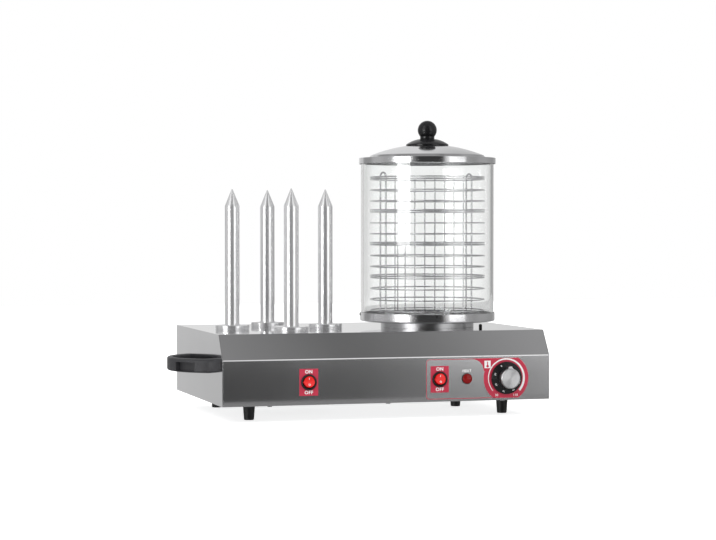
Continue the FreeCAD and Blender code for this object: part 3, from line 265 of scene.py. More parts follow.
POLISHED = steel("polished_steel", (0.80, 0.80, 0.81), 0.04, 0.08, (1.0, 60.0, 60.0), bump=0.006)
PANEL = steel("panel_steel", (0.78, 0.78, 0.79), 0.05, 0.11, (1.0, 1.0, 60.0), bump=0.006)
SATIN = turned_metal("spun_steel", (0.78, 0.78, 0.79), 0.1, 0.2)
ALUMINIUM = turned_metal("turned_aluminium", (0.93, 0.93, 0.94), 0.18, 0.25, bump=0.004, metallic=0.74)
COLLAR = turned_metal("collar_aluminium", (0.62, 0.62, 0.63), 0.26, 0.36, bump=0.004)
CAP = faced_metal("knob_cap_face", (0.84, 0.84, 0.85), 0.3)
WIRE = steel("bright_wire", (0.66, 0.66, 0.67), 0.12, 0.24, (1.0, 1.0, 1.0), bump=0.01)
GALVANISED = steel("galvanised_steel", (0.5, 0.51, 0.52), 0.4, 0.6, (1.0, 1.0, 1.0), 220.0)
DARK_STEEL = steel("heated_steel", (0.28, 0.26, 0.25), 0.35, 0.55, (1.0, 1.0, 1.0), 300.0)
HANDLE = plastic("handle_moulding", (0.034, 0.034, 0.038), (0.046, 0.046, 0.05), 0.4, 0.54)
BLACK = plastic("black_moulding", (0.012, 0.012, 0.012), (0.02, 0.02, 0.021), 0.38, 0.52)
KNOB = plastic("knob_moulding", (0.008, 0.008, 0.009), (0.014, 0.014, 0.015), 0.16, 0.28, 1800.0, 0.1)
RUBBER = plastic("soft_rubber", (0.014, 0.014, 0.014), (0.024, 0.024, 0.024), 0.6, 0.8)
SEAL = clear_plastic("silicone_seal", (0.82, 0.82, 0.8), (0.9, 0.9, 0.88), 0.6)
GLASS = glass("clear_glass")
RED_ROCKER = plastic("rocker_red", (0.72, 0.012, 0.012), (0.82, 0.02, 0.018), 0.12, 0.22, 900.0, 0.05)
RED_LENS = clear_plastic("lens_red", (0.3, 0.006, 0.006), (0.42, 0.012, 0.012), 0.35)
RED_PRINT = plastic("print_red", (0.5, 0.02, 0.055), (0.56, 0.027, 0.068), 0.3, 0.42, 1500.0, 0.08)
WHITE_PRINT = plastic("print_white", (0.84, 0.84, 0.84), (0.9, 0.9, 0.9), 0.35, 0.5, 1500.0, 0.08)
CERAMIC = plastic("ceramic_white", (0.74, 0.73, 0.7), (0.82, 0.81, 0.78), 0.25, 0.4, 700.0, 0.1)
COPPER = turned_metal("copper_alloy", (0.72, 0.42, 0.26), 0.22, 0.36)
LABEL = steel("label_steel", (0.78, 0.78, 0.79), 0.06, 0.13, (1.0, 60.0, 60.0), bump=0.008)


# Mesh helpers

UPRIGHT = Matrix.Identity(4)
FORWARD = Matrix.Rotation(math.radians(90), 4, "X")
# The sharpest edge, in degrees, that the shading of wire still rounds
WIRE_SHADING = 60
# softened() leaves smaller bends alone, and cuts back at most this share of a side
LEAST_BEND = math.radians(14)
MOST_OF_SIDE = 0.42
# Half the thickness of printed artwork
PRINT_HALF = 0.03


def moved_to(at):
    return Matrix.Translation([mm(value) for value in at])


def placed(name, data):
    """A new object in the scene."""
    piece = bpy.data.objects.new(name, data)
    bpy.context.scene.collection.objects.link(piece)
    return piece


def evaluated_mesh(piece):
    """A new mesh of what an object's curve or modifiers make."""
    evaluated = piece.evaluated_get(bpy.context.evaluated_depsgraph_get())
    return bpy.data.meshes.new_from_object(evaluated)


def baked(piece):
    """Replaces a piece's mesh with what its modifiers make of it."""
    fresh = evaluated_mesh(piece)
    piece.modifiers.clear()
    piece.data = fresh


def smoothed(bm, sharp):
    """Shades faces smooth, up to the edges that bend by more than an angle in degrees."""
    limit = math.radians(sharp)
    for face in bm.faces:
        face.smooth = True
    for edge in bm.edges:
        if len(edge.link_faces) == 2:
            edge.smooth = edge.calc_face_angle() < limit


def even_shading(piece):
    """Lets large faces set the shading, so that flat walls stay flat up to rounded edges."""
    modifier = piece.modifiers.new("shading", "WEIGHTED_NORMAL")
    modifier.mode = "FACE_AREA"
    modifier.weight = 100
    modifier.keep_sharp = True
    baked(piece)


def settle(piece, body, nodes=()):
    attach(piece, body)
    if nodes:
        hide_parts(*nodes)
    return piece


def stand_in(node, bm, material, body, sharp=35.0):
    """Turns a bmesh into a smooth-shaded piece that stands for a CAD node."""
    bmesh.ops.remove_doubles(bm, verts=bm.verts, dist=1e-7)
    bmesh.ops.recalc_face_normals(bm, faces=bm.faces)
    smoothed(bm, sharp)
    name = f"{node}_form"
    mesh = bpy.data.meshes.new(name)
    bm.to_mesh(mesh)
    bm.free()
    piece = placed(name, mesh)
    mesh.materials.append(material)
    even_shading(piece)
    return settle(piece, body, [node])


def round_fold(bm, y, z, reach=0.9):
    """Rounds a fold of sheet metal that runs from side to side at a given depth and height."""
    near = 2e-5
    on_fold = {
        vert for vert in bm.verts if abs(vert.co.y - mm(y)) < near and abs(vert.co.z - mm(z)) < near
    }
    edges = [edge for edge in bm.edges if on_fold.issuperset(edge.verts)]
    bmesh.ops.bevel(
        bm, geom=edges, offset=mm(reach), segments=4, profile=0.5, affect="EDGES", clamp_overlap=False
    )


def refined(node, material, bevel=0.3, corner=38.0, folds=()):
    """A cleaned copy of a CAD node with softened edges, standing for it."""
    source = NODES[node]
    bm = bmesh.new()
    bm.from_mesh(source.data)
    bmesh.ops.remove_doubles(bm, verts=bm.verts, dist=2e-6)
    bmesh.ops.dissolve_limit(
        bm, angle_limit=math.radians(0.4), verts=bm.verts, edges=bm.edges, delimit={"NORMAL"}
    )
    for y, z in folds:
        round_fold(bm, y, z)
    name = f"{node}_finished"
    mesh = bpy.data.meshes.new(name)
    bm.to_mesh(mesh)
    bm.free()
    piece = placed(name, mesh)
    mesh.materials.append(material)
    if bevel:
        modifier = piece.modifiers.new("edges", "BEVEL")
        modifier.width = mm(bevel)
        modifier.segments = 2
        modifier.limit_method = "ANGLE"
        modifier.angle_limit = math.radians(corner)
        modifier.miter_outer = "MITER_ARC"
        baked(piece)
    bm = bmesh.new()
    bm.from_mesh(piece.data)
    smoothed(bm, 30.0)
    bm.to_mesh(piece.data)
    bm.free()
    even_shading(piece)
    return settle(piece, source["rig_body"], [node])


def softened(profile, radius, closed):
    """The profile with each corner cut back and rounded."""
    result = []
    count = len(profile)
    for index, point in enumerate(profile):
        here = Vector(point)
        if not closed and index in (0, count - 1):
            result.append(here)
            continue
        back = Vector(profile[index - 1]) - here
        ahead = Vector(profile[(index + 1) % count]) - here
        bend = back.angle(-ahead) if back.length > 1e-9 and ahead.length > 1e-9 else 0.0
        cut = min(radius, MOST_OF_SIDE * back.length, MOST_OF_SIDE * ahead.length)
        if bend < LEAST_BEND or cut < 1e-4:
            result.append(here)
            continue
        start = here + back.normalized() * cut
        end = here + ahead.normalized() * cut
        for step in range(4):
            t = step / 3
            result.append(start * (1 - t) ** 2 + here * 2 * t * (1 - t) + end * t * t)
    return result


def even_steps(first, last, count):
    return [first + (last - first) * step / count for step in range(count + 1)]


def arc(centre, radius, first, last, steps):
    """Points along an arc in the profile plane; angles in degrees."""
    points = []
    for degrees in even_steps(first, last, steps):
        angle = math.radians(degrees)
        points.append((centre[0] + radius * math.cos(angle), centre[1] + radius * math.sin(angle)))
    return points


def spokes(count):
    """Cosine and sine of even steps round a circle."""
    angles = [2 * math.pi * step / count for step in range(count)]
    return [(math.cos(angle), math.sin(angle)) for angle in angles]


def join_rings(bm, rings, closed):
    """Adds the faces between each ring of vertices and the next."""
    pairs = list(zip(rings, rings[1:]))
    if closed:
        pairs.append((rings[-1], rings[0]))
    for low, high in pairs:
        for step in range(len(low)):
            following = (step + 1) % len(low)
            corners = []
            for vertex in (low[step], low[following], high[following], high[step]):
                if vertex not in corners:
                    corners.append(vertex)
            if len(corners) > 2:
                bm.faces.new(corners)


def lathe(bm, profile, at, turn=UPRIGHT, closed=False, round_off=0.3, segments=96):
    """Adds a turned form, from (radius, height) points, to a bmesh."""
    place = moved_to(at) @ turn
    rings = []
    for radius, height in softened(profile, round_off, closed):
        if radius < 1e-6:
            vertex = bm.verts.new(place @ Vector((0, 0, mm(height))))
            rings.append([vertex] * segments)
            continue
        spots = [(mm(radius) * cos, mm(radius) * sin, mm(height)) for cos, sin in spokes(segments)]
        rings.append([bm.verts.new(place @ Vector(spot)) for spot in spots])
    join_rings(bm, rings, closed)


def turned(node, profile, at, material, body, slot, **shape):
    bm = bmesh.new()
    lathe(bm, profile, at, **shape)
    return stand_in(node, bm, material, body)


def tube_along(bm, points, radius=WIRE_RADIUS, sides=10, closed=False):
    """Adds a round wire that follows points."""
    path = [Vector([mm(value) for value in point]) for point in points]
    count = len(path)
    rings = []
    side = None
    for index, here in enumerate(path):
        if closed:
            along = (path[(index + 1) % count] - path[index - 1]).normalized()
        else:
            along = (path[min(index + 1, count - 1)] - path[max(index - 1, 0)]).normalized()
        if side is None:
            side = along.orthogonal().normalized()
        side = (side - along * side.dot(along)).normalized()
        across = along.cross(side)
        spots = [here + (side * cos + across * sin) * mm(radius) for cos, sin in spokes(sides)]
        rings.append([bm.verts.new(spot) for spot in spots])
    join_rings(bm, rings, closed)
    if not closed:
        for ring in (rings[0], rings[-1]):
            bm.faces.new(ring)


def ring_path(radius, height):
    """A circle round the steamer's axis."""
    return [(STEAMER_X + radius * cos, MIDDLE + radius * sin, height) for cos, sin in spokes(120)]


def printed(name, curve, at, material, body, turn=FORWARD):
    """Turns a flat curve or a text into a mesh on a face."""
    carrier = placed(f"{name}_curve", curve)
    mesh = evaluated_mesh(carrier)
    bpy.data.objects.remove(carrier)
    mesh.transform(moved_to(at) @ turn)
    mesh.materials.clear()
    mesh.materials.append(material)
    return settle(placed(name, mesh), body)


def lettering(name, text, size, at, body, turn=FORWARD, bold=0.0):
    curve = bpy.data.curves.new(name, "FONT")
    curve.body = text
    curve.size = mm(size)
    curve.align_x = "CENTER"
    curve.align_y = "CENTER"
    curve.extrude = mm(PRINT_HALF)
    curve.offset = mm(bold)
    curve.space_character = 1.12
    return printed(name, curve, at, WHITE_PRINT, body, turn)


# Housing, handles and feet

refined("housing_shell", POLISHED, 0.6, corner=30.0, folds=[(FRONT, FRONT_FOLD)])
refined("side_panel_left", PANEL, 0.5)
refined("side_panel_right", PANEL, 0.5)
refined("base_plate", GALVANISED, 0.2)
for handle in ("handle_left", "handle_right"):
    refined(handle, HANDLE, 0.5)

FOOT_INSET = 52
FOOT_SPOTS = {
    "foot_front_left": (LEFT + FOOT_INSET, FRONT + 58),
    "foot_front_right": (RIGHT - FOOT_INSET, FRONT + 58),
    "foot_rear_left": (LEFT + FOOT_INSET, REAR - 48),
    "foot_rear_right": (RIGHT - 81, REAR - 133),
}
FOOT = [
    (4.6, 0.0),
    (6.4, 0.0),
    (7.2, 0.8),
    (8.8, 22.0),
    (9.8, 22.0),
    (9.8, BASE),
    (2.3, BASE),
    (2.3, 12.0),
    (4.6, 12.0),
]
for node, (x, y) in FOOT_SPOTS.items():
    turned(node, FOOT, (x, y, 0), BLACK, "base", "black_plastic", closed=True)

# Spikes and collars

SPIKE_SPOTS = [
    (SPIKE_X, MIDDLE - SPIKE_SPREAD),
    (SPIKE_X - SPIKE_SPREAD, MIDDLE),
    (SPIKE_X + SPIKE_SPREAD, MIDDLE),
    (SPIKE_X, MIDDLE + SPIKE_SPREAD),
]
SPIKE = [
    (7.6, -26.0),
    (10.8, -26.0),
    (10.8, 0.0),
    (14.0, 0.0),
    (14.0, 2.5),
    (10.8, 2.5),
    (10.8, 181.5),
    (0.9, 205.9),
    (0.0, 206.5),
    (0.0, 177.5),
    (7.6, 177.5),
    (7.6, -26.0),
]
SPIKE_COLLAR = [
    (14.3, 0.0),
    (25.0, 0.0),
    (25.0, 1.3),
    (24.2, 1.3),
    (24.2, 2.1),
    (25.0, 2.1),
    (25.0, 6.3),
    (24.3, 7.0),
    (13.3, 7.0),
    (11.1, 4.8),
    (11.1, 2.8),
    (14.3, 2.8),
]
for number, (x, y) in enumerate(SPIKE_SPOTS, start=1):
    place = (x, y, TOP)
    turned(f"spike_{number}", SPIKE, place, ALUMINIUM, "base", "turned_aluminium", round_off=0.8)
    turned(
        f"spike_collar_{number}", SPIKE_COLLAR, place, ALUMINIUM, "base", "turned_aluminium", closed=True
    )

# Steamer


def steamer(node, profile, material, body, slot, closed=True, **shape):
    """A turned piece on the steamer's axis."""
    axis = (STEAMER_X, MIDDLE, 0.0)
    return turned(node, profile, axis, material, body, slot, closed=closed, segments=192, **shape)


def ring_profile(inner, outer, low, high):
    return [(inner, low), (outer, low), (outer, high), (inner, high)]


BASIN_CORNER = (58.0, TOP - 37.0)
BASIN_RIM = 70.0
BASIN_MOUTH = 64.8
basin = [(0.0, TOP - 45.0)]
basin += arc(BASIN_CORNER, 8.0, -90, 0, 10)
basin += [(66.0, TOP + 7.8), (BASIN_RIM, TOP + 7.8), (BASIN_RIM, TOP + 9.0), (BASIN_MOUTH, TOP + 9.0)]
basin += arc(BASIN_CORNER, 6.8, 0, -90, 10)
basin += [(0.0, TOP - 43.8)]
steamer("boiler_basin", basin, SATIN, "base", "satin_steel", closed=False)
stand = ring_profile(66.3, BASIN_RIM, TOP, TOP + 7.8)
steamer("base_collar", stand, COLLAR, "base", "turned_aluminium")

TRAY_CORNER = (99.5, TOP + 11.5)
tray = [(BASIN_MOUTH, TOP + 9.0)]
tray += arc(TRAY_CORNER, 2.5, -90, 0, 8)
tray += [(102.0, TOP + 22.0), (100.8, TOP + 22.0)]
tray += arc(TRAY_CORNER, 1.3, 0, -90, 6)
tray += [(BASIN_MOUTH, TRAY_FLOOR)]
steamer("tray", tray, SATIN, "base", "satin_steel")

glass_seal = ring_profile(94.5, 98.8, TRAY_FLOOR, GLASS_BASE)
steamer("glass_seal", glass_seal, SEAL, "base", "clear_rubber")
GLASS_INNER, GLASS_OUTER = 96.0, 100.0
cylinder = ring_profile(GLASS_INNER, GLASS_OUTER, GLASS_BASE, GLASS_TOP)
steamer("glass_cylinder", cylinder, GLASS, "glass", "clear_glass", round_off=1.2)
lid_seal = ring_profile(GLASS_INNER, GLASS_OUTER, GLASS_TOP, SHOULDER)
steamer("lid_seal", lid_seal, SEAL, "lid_ring", "clear_rubber")

# Basket


def basket_piece(part, bm):
    return stand_in(f"basket_{part}", bm, WIRE, "basket", WIRE_SHADING)


bm = bmesh.new()
tube_along(bm, ring_path(BASKET_RADIUS, LOWEST_RING), closed=True)
for step in range(RINGS - 1):
    tube_along(bm, ring_path(BASKET_RADIUS, HIGHEST_RING - step * RING_STEP), closed=True)
basket_piece("rings", bm)

# Extra hoops lie close above every third ring from the top
bm = bmesh.new()
for step in range(4):
    tube_along(bm, ring_path(BASKET_RADIUS, HIGHEST_RING - 3 * step * RING_STEP + 3.0), closed=True)
basket_piece("hoops", bm)

UPRIGHT_RADIUS = INSIDE_RINGS - WIRE_RADIUS
UPRIGHT_TURNS = [74.0 + 10.8 * step for step in range(-3, 3)] + [104.6, 108.2, 290.3]
low, high = LOWEST_RING - WIRE_RADIUS, HIGHEST_RING + 4.5
wire = [(0, low), (WIRE_RADIUS, low), (WIRE_RADIUS, high), (0, high)]
bm = bmesh.new()
for turn in UPRIGHT_TURNS:
    angle = math.radians(turn)
    x = STEAMER_X + UPRIGHT_RADIUS * math.cos(angle)
    y = MIDDLE + UPRIGHT_RADIUS * math.sin(angle)
    lathe(bm, wire, (x, y, 0), segments=12)
basket_piece("uprights", bm)

FLOOR_RADIUS = 81.9
FLOOR_STEP = 16.0
LAYER_STEP = 2 * WIRE_RADIUS + WIRE_GAP
bm = bmesh.new()
tube_along(bm, ring_path(FLOOR_RADIUS, LOWEST_RING), closed=True)
for step in range(-4, 5):
    offset = FLOOR_STEP * step
    half = math.sqrt(FLOOR_RADIUS**2 - offset**2)
    low, high = LOWEST_RING + LAYER_STEP, LOWEST_RING + 2 * LAYER_STEP
    tube_along(bm, [(STEAMER_X - half, MIDDLE + offset, low), (STEAMER_X + half, MIDDLE + offset, low)])
    tube_along(bm, [(STEAMER_X + offset, MIDDLE - half, high), (STEAMER_X + offset, MIDDLE + half, high)])
basket_piece("floor", bm)

EAR_TURNS = (20.5, 200.5)
EAR_WIRE = 1.3
EAR_HALF = 6.5
EAR_TOP = HIGHEST_RING + 10.5
EAR_BEND = EAR_TOP - EAR_WIRE - EAR_HALF
EAR_REACH = math.sqrt((INSIDE_RINGS - EAR_WIRE) ** 2 - EAR_HALF**2)
bm = bmesh.new()
for turn in EAR_TURNS:
    outward = Vector((math.cos(math.radians(turn)), math.sin(math.radians(turn)), 0))
    sideways = Vector((-outward.y, outward.x, 0))
    centre = Vector((STEAMER_X, MIDDLE, 0)) + outward * EAR_REACH
    foot = Vector((0, 0, LOWEST_RING + WIRE_RADIUS + WIRE_GAP))
    points = [centre - sideways * EAR_HALF + foot]
    for step in range(17):
        angle = math.pi * (1 - step / 16)
        lift = Vector((0, 0, EAR_BEND + EAR_HALF * math.sin(angle)))
        points.append(centre + sideways * EAR_HALF * math.cos(angle) + lift)
    points.append(centre + sideways * EAR_HALF + foot)
    tube_along(bm, points, EAR_WIRE, 14)
basket_piece("ears", bm)

# Lid


def dome(radius, at):
    """Height of a sphere about the dome's centre, at a distance from the axis."""
    return DOME_TOP - DOME_RADIUS + math.sqrt(radius**2 - at**2)


BAND_OUTER, BAND_INNER = 103.0, 102.3
BAND_FOOT = SHOULDER - 7.8
lid = [(radius, dome(DOME_RADIUS, radius)) for radius in even_steps(LID_BORE, DOME_REACH, 24)]
lid += [
    (88.0, SHOULDER + LID_SHEET),
    (102.65, SHOULDER + LID_SHEET),
    (BAND_OUTER, SHOULDER + 0.85),
    (BAND_OUTER, BAND_FOOT),
    (BAND_INNER, BAND_FOOT),
    (BAND_INNER, SHOULDER),
    (86.8, SHOULDER),
]
inner = even_steps(DOME_REACH - LID_SHEET, LID_BORE, 24)
lid += [(radius, dome(DOME_RADIUS - LID_SHEET, radius)) for radius in inner]
steamer("lid_shell", lid, SATIN, "lid", "satin_steel", round_off=0.4)

# The knob's skirt lies on the dome, and a flat curve leads from its rim up to the knob's neck
SKIRT_REACH = 32.0
SKIRT_UNDERSIDE = DOME_RADIUS + 0.05
CROWN_RADIUS = 45.0
NECK_REACH = 10.8
NECK_BASE = DOME_TOP + 8.4
rim_top = dome(SKIRT_UNDERSIDE, SKIRT_REACH) + 2.2
chord = Vector((NECK_REACH - SKIRT_REACH, NECK_BASE - rim_top))
crown_side = Vector((-chord.y, chord.x)).normalized()
crown_lift = math.sqrt(CROWN_RADIUS**2 - (chord.length / 2) ** 2)
crown_centre = Vector((SKIRT_REACH, rim_top)) + chord / 2 + crown_side * crown_lift
first = math.degrees(math.atan2(rim_top - crown_centre.y, SKIRT_REACH - crown_centre.x))
last = math.degrees(math.atan2(NECK_BASE - crown_centre.y, NECK_REACH - crown_centre.x))
under = even_steps(LID_BORE, SKIRT_REACH, 12)
skirt = [(radius, dome(SKIRT_UNDERSIDE, radius)) for radius in under]
skirt += arc(crown_centre, CROWN_RADIUS, first, last, 12)
skirt += [(LID_BORE, NECK_BASE)]
steamer("lid_knob_skirt", skirt, KNOB, "lid", "knob_plastic", round_off=0.5)

BALL_RADIUS = 14.4
BALL_BASE = NECK_BASE + 3.7
BALL_CENTRE = BALL_BASE + math.sqrt(BALL_RADIUS**2 - NECK_REACH**2)
SCREW_HOLE = 2.6
SCREW_TIP = NECK_BASE + 12.3
start = math.degrees(math.asin((BALL_BASE - BALL_CENTRE) / BALL_RADIUS))
knob = [(SCREW_HOLE, NECK_BASE), (NECK_REACH, NECK_BASE), (NECK_REACH, BALL_BASE)]
knob += arc((0.0, BALL_CENTRE), BALL_RADIUS, start, 90, 28)[1:-1]
knob += [(0.0, BALL_CENTRE + BALL_RADIUS), (0.0, SCREW_TIP), (SCREW_HOLE, SCREW_TIP)]
knob += [(SCREW_HOLE, NECK_BASE)]
steamer("lid_knob", knob, KNOB, "lid", "knob_plastic", closed=False, round_off=0.6)

# The plug on the top plate

plug = [(0, -4.0), (1.7, -4.0), (1.7, 0), (2.4, 0), (2.4, 4.3), (1.2, 5.5), (0, 5.5)]
turned("top_plug", plug, (LEFT + 417, FRONT + 98, TOP), RUBBER, "base", "black_rubber")

# Front controls

DIAL_X = 420.7
LAMP_X = 360.4
SWITCH_1_X, SWITCH_2_X = 124.5, 319.0
# Thickness of the label, and of the plate that lies on it
SHEET, TWO_SHEETS = 0.4, 0.8
SWITCHES = ((1, SWITCH_1_X, SHEET), (2, SWITCH_2_X, TWO_SHEETS))


def front_at(x, out=0.0, z=CONTROL_Z):
    """A place before the front panel, measured from the left side."""
    return (LEFT + x, FRONT - out, z)


SWITCH_BODY = [
    (0, -12.0),
    (10.3, -12.0),
    (10.3, 0),
    (11.4, 0),
    (11.4, 1.4),
    (10.8, 2.0),
    (9.1, 2.0),
    (9.1, -8.0),
    (0, -8.0),
]
for number, x, stand_off in SWITCHES:
    spot = front_at(x, stand_off)
    turned(f"switch_body_{number}", SWITCH_BODY, spot, BLACK, "base", "black_plastic", turn=FORWARD)
    refined(f"switch_rocker_{number}", RED_ROCKER, 0.35)

lamp = [(0, -18.0), (5.5, -18.0), (5.5, 0), (8.0, 0), (8.0, 0.9), (7.7, 1.2), (0, 1.2)]
turned("lamp_body", lamp, front_at(LAMP_X, SHEET), BLACK, "base", "black_plastic", turn=FORWARD)

LENS_REACH, LENS_EDGE, LENS_TOP = 7.0, 0.8, 3.2
LENS_RISE = LENS_TOP - LENS_EDGE
LENS_ROUND = (LENS_REACH**2 + LENS_RISE**2) / (2 * LENS_RISE)
edge = math.degrees(math.asin(LENS_REACH / LENS_ROUND))
lens = [(0, 0), (LENS_REACH, 0)]
lens += arc((0, LENS_TOP - LENS_ROUND), LENS_ROUND, 90 - edge, 90, 10)
turned(
    "lamp_lens", lens, front_at(LAMP_X, 1.6), RED_LENS, "base", "red_lens", turn=FORWARD, round_off=0.2
)

# The dial: a disc with a sloping skirt, and the hub that carries the metal cap
DIAL_OUT = 1.2
SKIRT_OUTER, SKIRT_INNER = 23.5, 16.0
SKIRT_LOW, SKIRT_HIGH = 2.4, 7.0
dial = [
    (3.1, 0),
    (SKIRT_OUTER, 0),
    (SKIRT_OUTER, SKIRT_LOW),
    (SKIRT_INNER, SKIRT_HIGH),
    (12.0, SKIRT_HIGH),
    (12.0, 16.5),
    (3.1, 16.5),
]
turned(
    "thermostat_knob", dial, front_at(DIAL_X, DIAL_OUT), KNOB, "dial", "knob_plastic",
    turn=FORWARD, closed=True, round_off=0.5,
)
refined("knob_cap", CAP, 0.5)
refined("control_label", LABEL, 0.0)
refined("switch_labels", RED_PRINT, 0.08)
refined("cable_gland", BLACK, 0.4)

# Nodes that keep their CAD shape
PLAIN_NODES = {
    "base_screws": GALVANISED,
    "foot_screws": GALVANISED,
    "handle_screws": GALVANISED,
    "spike_nuts": GALVANISED,
    "lid_screw": GALVANISED,
    "tray_studs": RUBBER,
    "heating_element": DARK_STEEL,
    "heater_plate": GALVANISED,
    "sensor_bulb": COPPER,
    "thermostat_body": GALVANISED,
    "thermostat_shaft": COPPER,
    "terminal_block": CERAMIC,
    "spike_heater_1": DARK_STEEL,
    "spike_heater_2": DARK_STEEL,
    "spike_heater_3": DARK_STEEL,
    "spike_heater_4": DARK_STEEL,
}
for node, material in PLAIN_NODES.items():
    slots = NODES[node].data.materials
    slots.clear()
    slots.append(material)

# Printed artwork

# How far before the panel the middles of the label's layers of print lie
LAYER_1, LAYER_2, LAYER_3 = 0.43, 0.49, 0.55
LETTERS_ON_FIELD = 0.47


def label_print(name, outlines, layer, material):
    """Artwork on the label, from (x from the left side, height from the base) outlines.

    Inner outlines are holes.
    """
    curve = bpy.data.curves.new(name, "CURVE")
    curve.dimensions = "2D"
    curve.fill_mode = "BOTH"
    curve.extrude = mm(PRINT_HALF)
    for outline in outlines:
        spline = curve.splines.new("POLY")
        spline.points.add(len(outline) - 1)
        for point, (x, z) in zip(spline.points, outline):
            point.co = (mm(x), mm(z - CONTROL_RISE), 0, 1)
        spline.use_cyclic_u = True
    return printed(name, curve, (LEFT, FRONT - layer, CONTROL_Z), material, "base")


# The red field round the dial, from the label's upper edge to its lower one
DIAL = (DIAL_X, CONTROL_RISE)
FIELD_RADIUS = 34.7
LABEL_LOW, LABEL_HIGH = 3.0, 61.5
SWOOSH_X = 369.0
half_turn = math.degrees(math.asin((LABEL_HIGH - LABEL_LOW) / 2 / FIELD_RADIUS))
right_side = arc(DIAL, FIELD_RADIUS - 0.3, -half_turn, half_turn, 40)
swoosh = arc((SWOOSH_X, 43.0), 17.0, 90, 0, 16)
left_side = arc(DIAL, FIELD_RADIUS, 162, 180 + half_turn - 1, 24)
field = [(right_side[-1][0], LABEL_HIGH - 0.3), (SWOOSH_X, LABEL_HIGH - 0.3)]
field += swoosh + left_side + right_side
hole = arc(DIAL, 6.0, 0.0, 360.0, 64)[:-1]
label_print("dial_field", [field, hole], LAYER_1, RED_PRINT)

# The thin line round the rest of the label
BORDER_OUTER, BORDER_INNER = 5.0, 4.2
border_low, border_high = (303.6, 8.6), (303.6, 55.9)
border = (
    arc(border_low, BORDER_OUTER, 180, 270, 8)
    + [(403.0, 3.6), (403.0, 4.4)]
    + arc(border_low, BORDER_INNER, 270, 180, 8)
    + arc(border_high, BORDER_INNER, 180, 90, 8)
    + [(372.0, 60.1), (372.0, 60.9)]
    + arc(border_high, BORDER_OUTER, 90, 180, 8)
)
label_print("label_border", [border], LAYER_1, RED_PRINT)

# A plain thermometer on a white field
mark = [(387.2, 46.8), (396.8, 46.8), (396.8, 57.6), (387.2, 57.6)]
label_print("dial_mark", [mark], LAYER_2, WHITE_PRINT)
thermometer = arc((392.0, 49.6), 1.9, 112, 428, 18) + arc((392.0, 55.6), 0.75, 0, 180, 6)
label_print("dial_mark_sign", [thermometer], LAYER_3, RED_PRINT)


def tapered_arc(centre, radius, first, last, thin, thick, steps=48):
    """A band along an arc, thin at its first end and thick at its last."""
    outside, inside = [], []
    for step in range(steps + 1):
        t = step / steps
        angle = math.radians(first + (last - first) * t)
        half = (thin + (thick - thin) * t) / 2
        for points, reach in ((outside, radius + half), (inside, radius - half)):
            points.append((centre[0] + reach * math.cos(angle), centre[1] + reach * math.sin(angle)))
    return outside + inside[::-1]


label_print("dial_scale", [tapered_arc(DIAL, 27.4, 222, -42, 0.9, 3.4)], LAYER_2, WHITE_PRINT)

# Name, word, size, x, distance before the panel, height above the base and boldness
for name, word, size, x, out, rise, bold in (
    ("scale_low", "30", 4.6, 406.0, LETTERS_ON_FIELD, 7.4, 0.08),
    ("scale_high", "110", 4.6, 435.0, LETTERS_ON_FIELD, 7.0, 0.08),
    ("lamp_word", "HEAT", 5.2, LAMP_X, LAYER_1, 43.5, 0.1),
):
    lettering(name, word, size, front_at(x, out, BASE + rise), "base", bold=bold)
for number, x, stand_off in SWITCHES:
    for word, rise in (("ON", 14.6), ("OFF", -14.6)):
        spot = front_at(x, stand_off + PRINT_HALF, CONTROL_Z + rise)
        lettering(f"switch_{number}_{word.lower()}", word, 6.6, spot, "base", bold=0.22)

# Marks on the rockers' two faces, which slope down to a valley in the middle
VALLEY = math.atan2(2.0, 7.7)
ROCKER_REST = 12
MARK_REACH = 4.2
MARK_LIFT = 3.0 + MARK_REACH * math.tan(VALLEY) + 0.05
for number, x, stand_off in SWITCHES:
    for word, side in (("I", 1), ("O", -1)):
        turn = (
            Matrix.Rotation(math.radians(90 - ROCKER_REST), 4, "X")
            @ Matrix.Translation(Vector((0, mm(MARK_REACH * side), mm(MARK_LIFT))))
            @ Matrix.Rotation(VALLEY * side, 4, "X")
        )
        name = f"rocker_{number}_mark_{word.lower()}"
        lettering(name, word, 4.0, front_at(x, stand_off), f"rocker_{number}", turn, 0.1)

# Dial figures on the knob's sloping skirt
SLOPE = math.atan2(SKIRT_HIGH - SKIRT_LOW, SKIRT_OUTER - SKIRT_INNER)
FIGURE_RADIUS = 19.6
FIGURE_OUT = DIAL_OUT + SKIRT_LOW + (SKIRT_OUTER - FIGURE_RADIUS) * math.tan(SLOPE) + 0.05
for index, word in enumerate(("0", "30", "50", "70", "90", "110")):
    clock = math.radians(118 + index * 45)
    across, up = FIGURE_RADIUS * math.cos(clock), FIGURE_RADIUS * math.sin(clock)
    spot = (LEFT + DIAL_X + across, FRONT - FIGURE_OUT, CONTROL_Z + up)
    turn = (
        FORWARD
        @ Matrix.Rotation(clock - math.pi / 2, 4, "Z")
        @ Matrix.Rotation(-SLOPE, 4, "X")
    )
    lettering(f"dial_figure_{word}", word, 3.4, spot, "dial", turn, 0.04)

# Surroundings

world = bpy.data.worlds.new("studio")
bpy.context.scene.world = world
world.use_nodes = True
tree = world.node_tree
tree.nodes.clear()

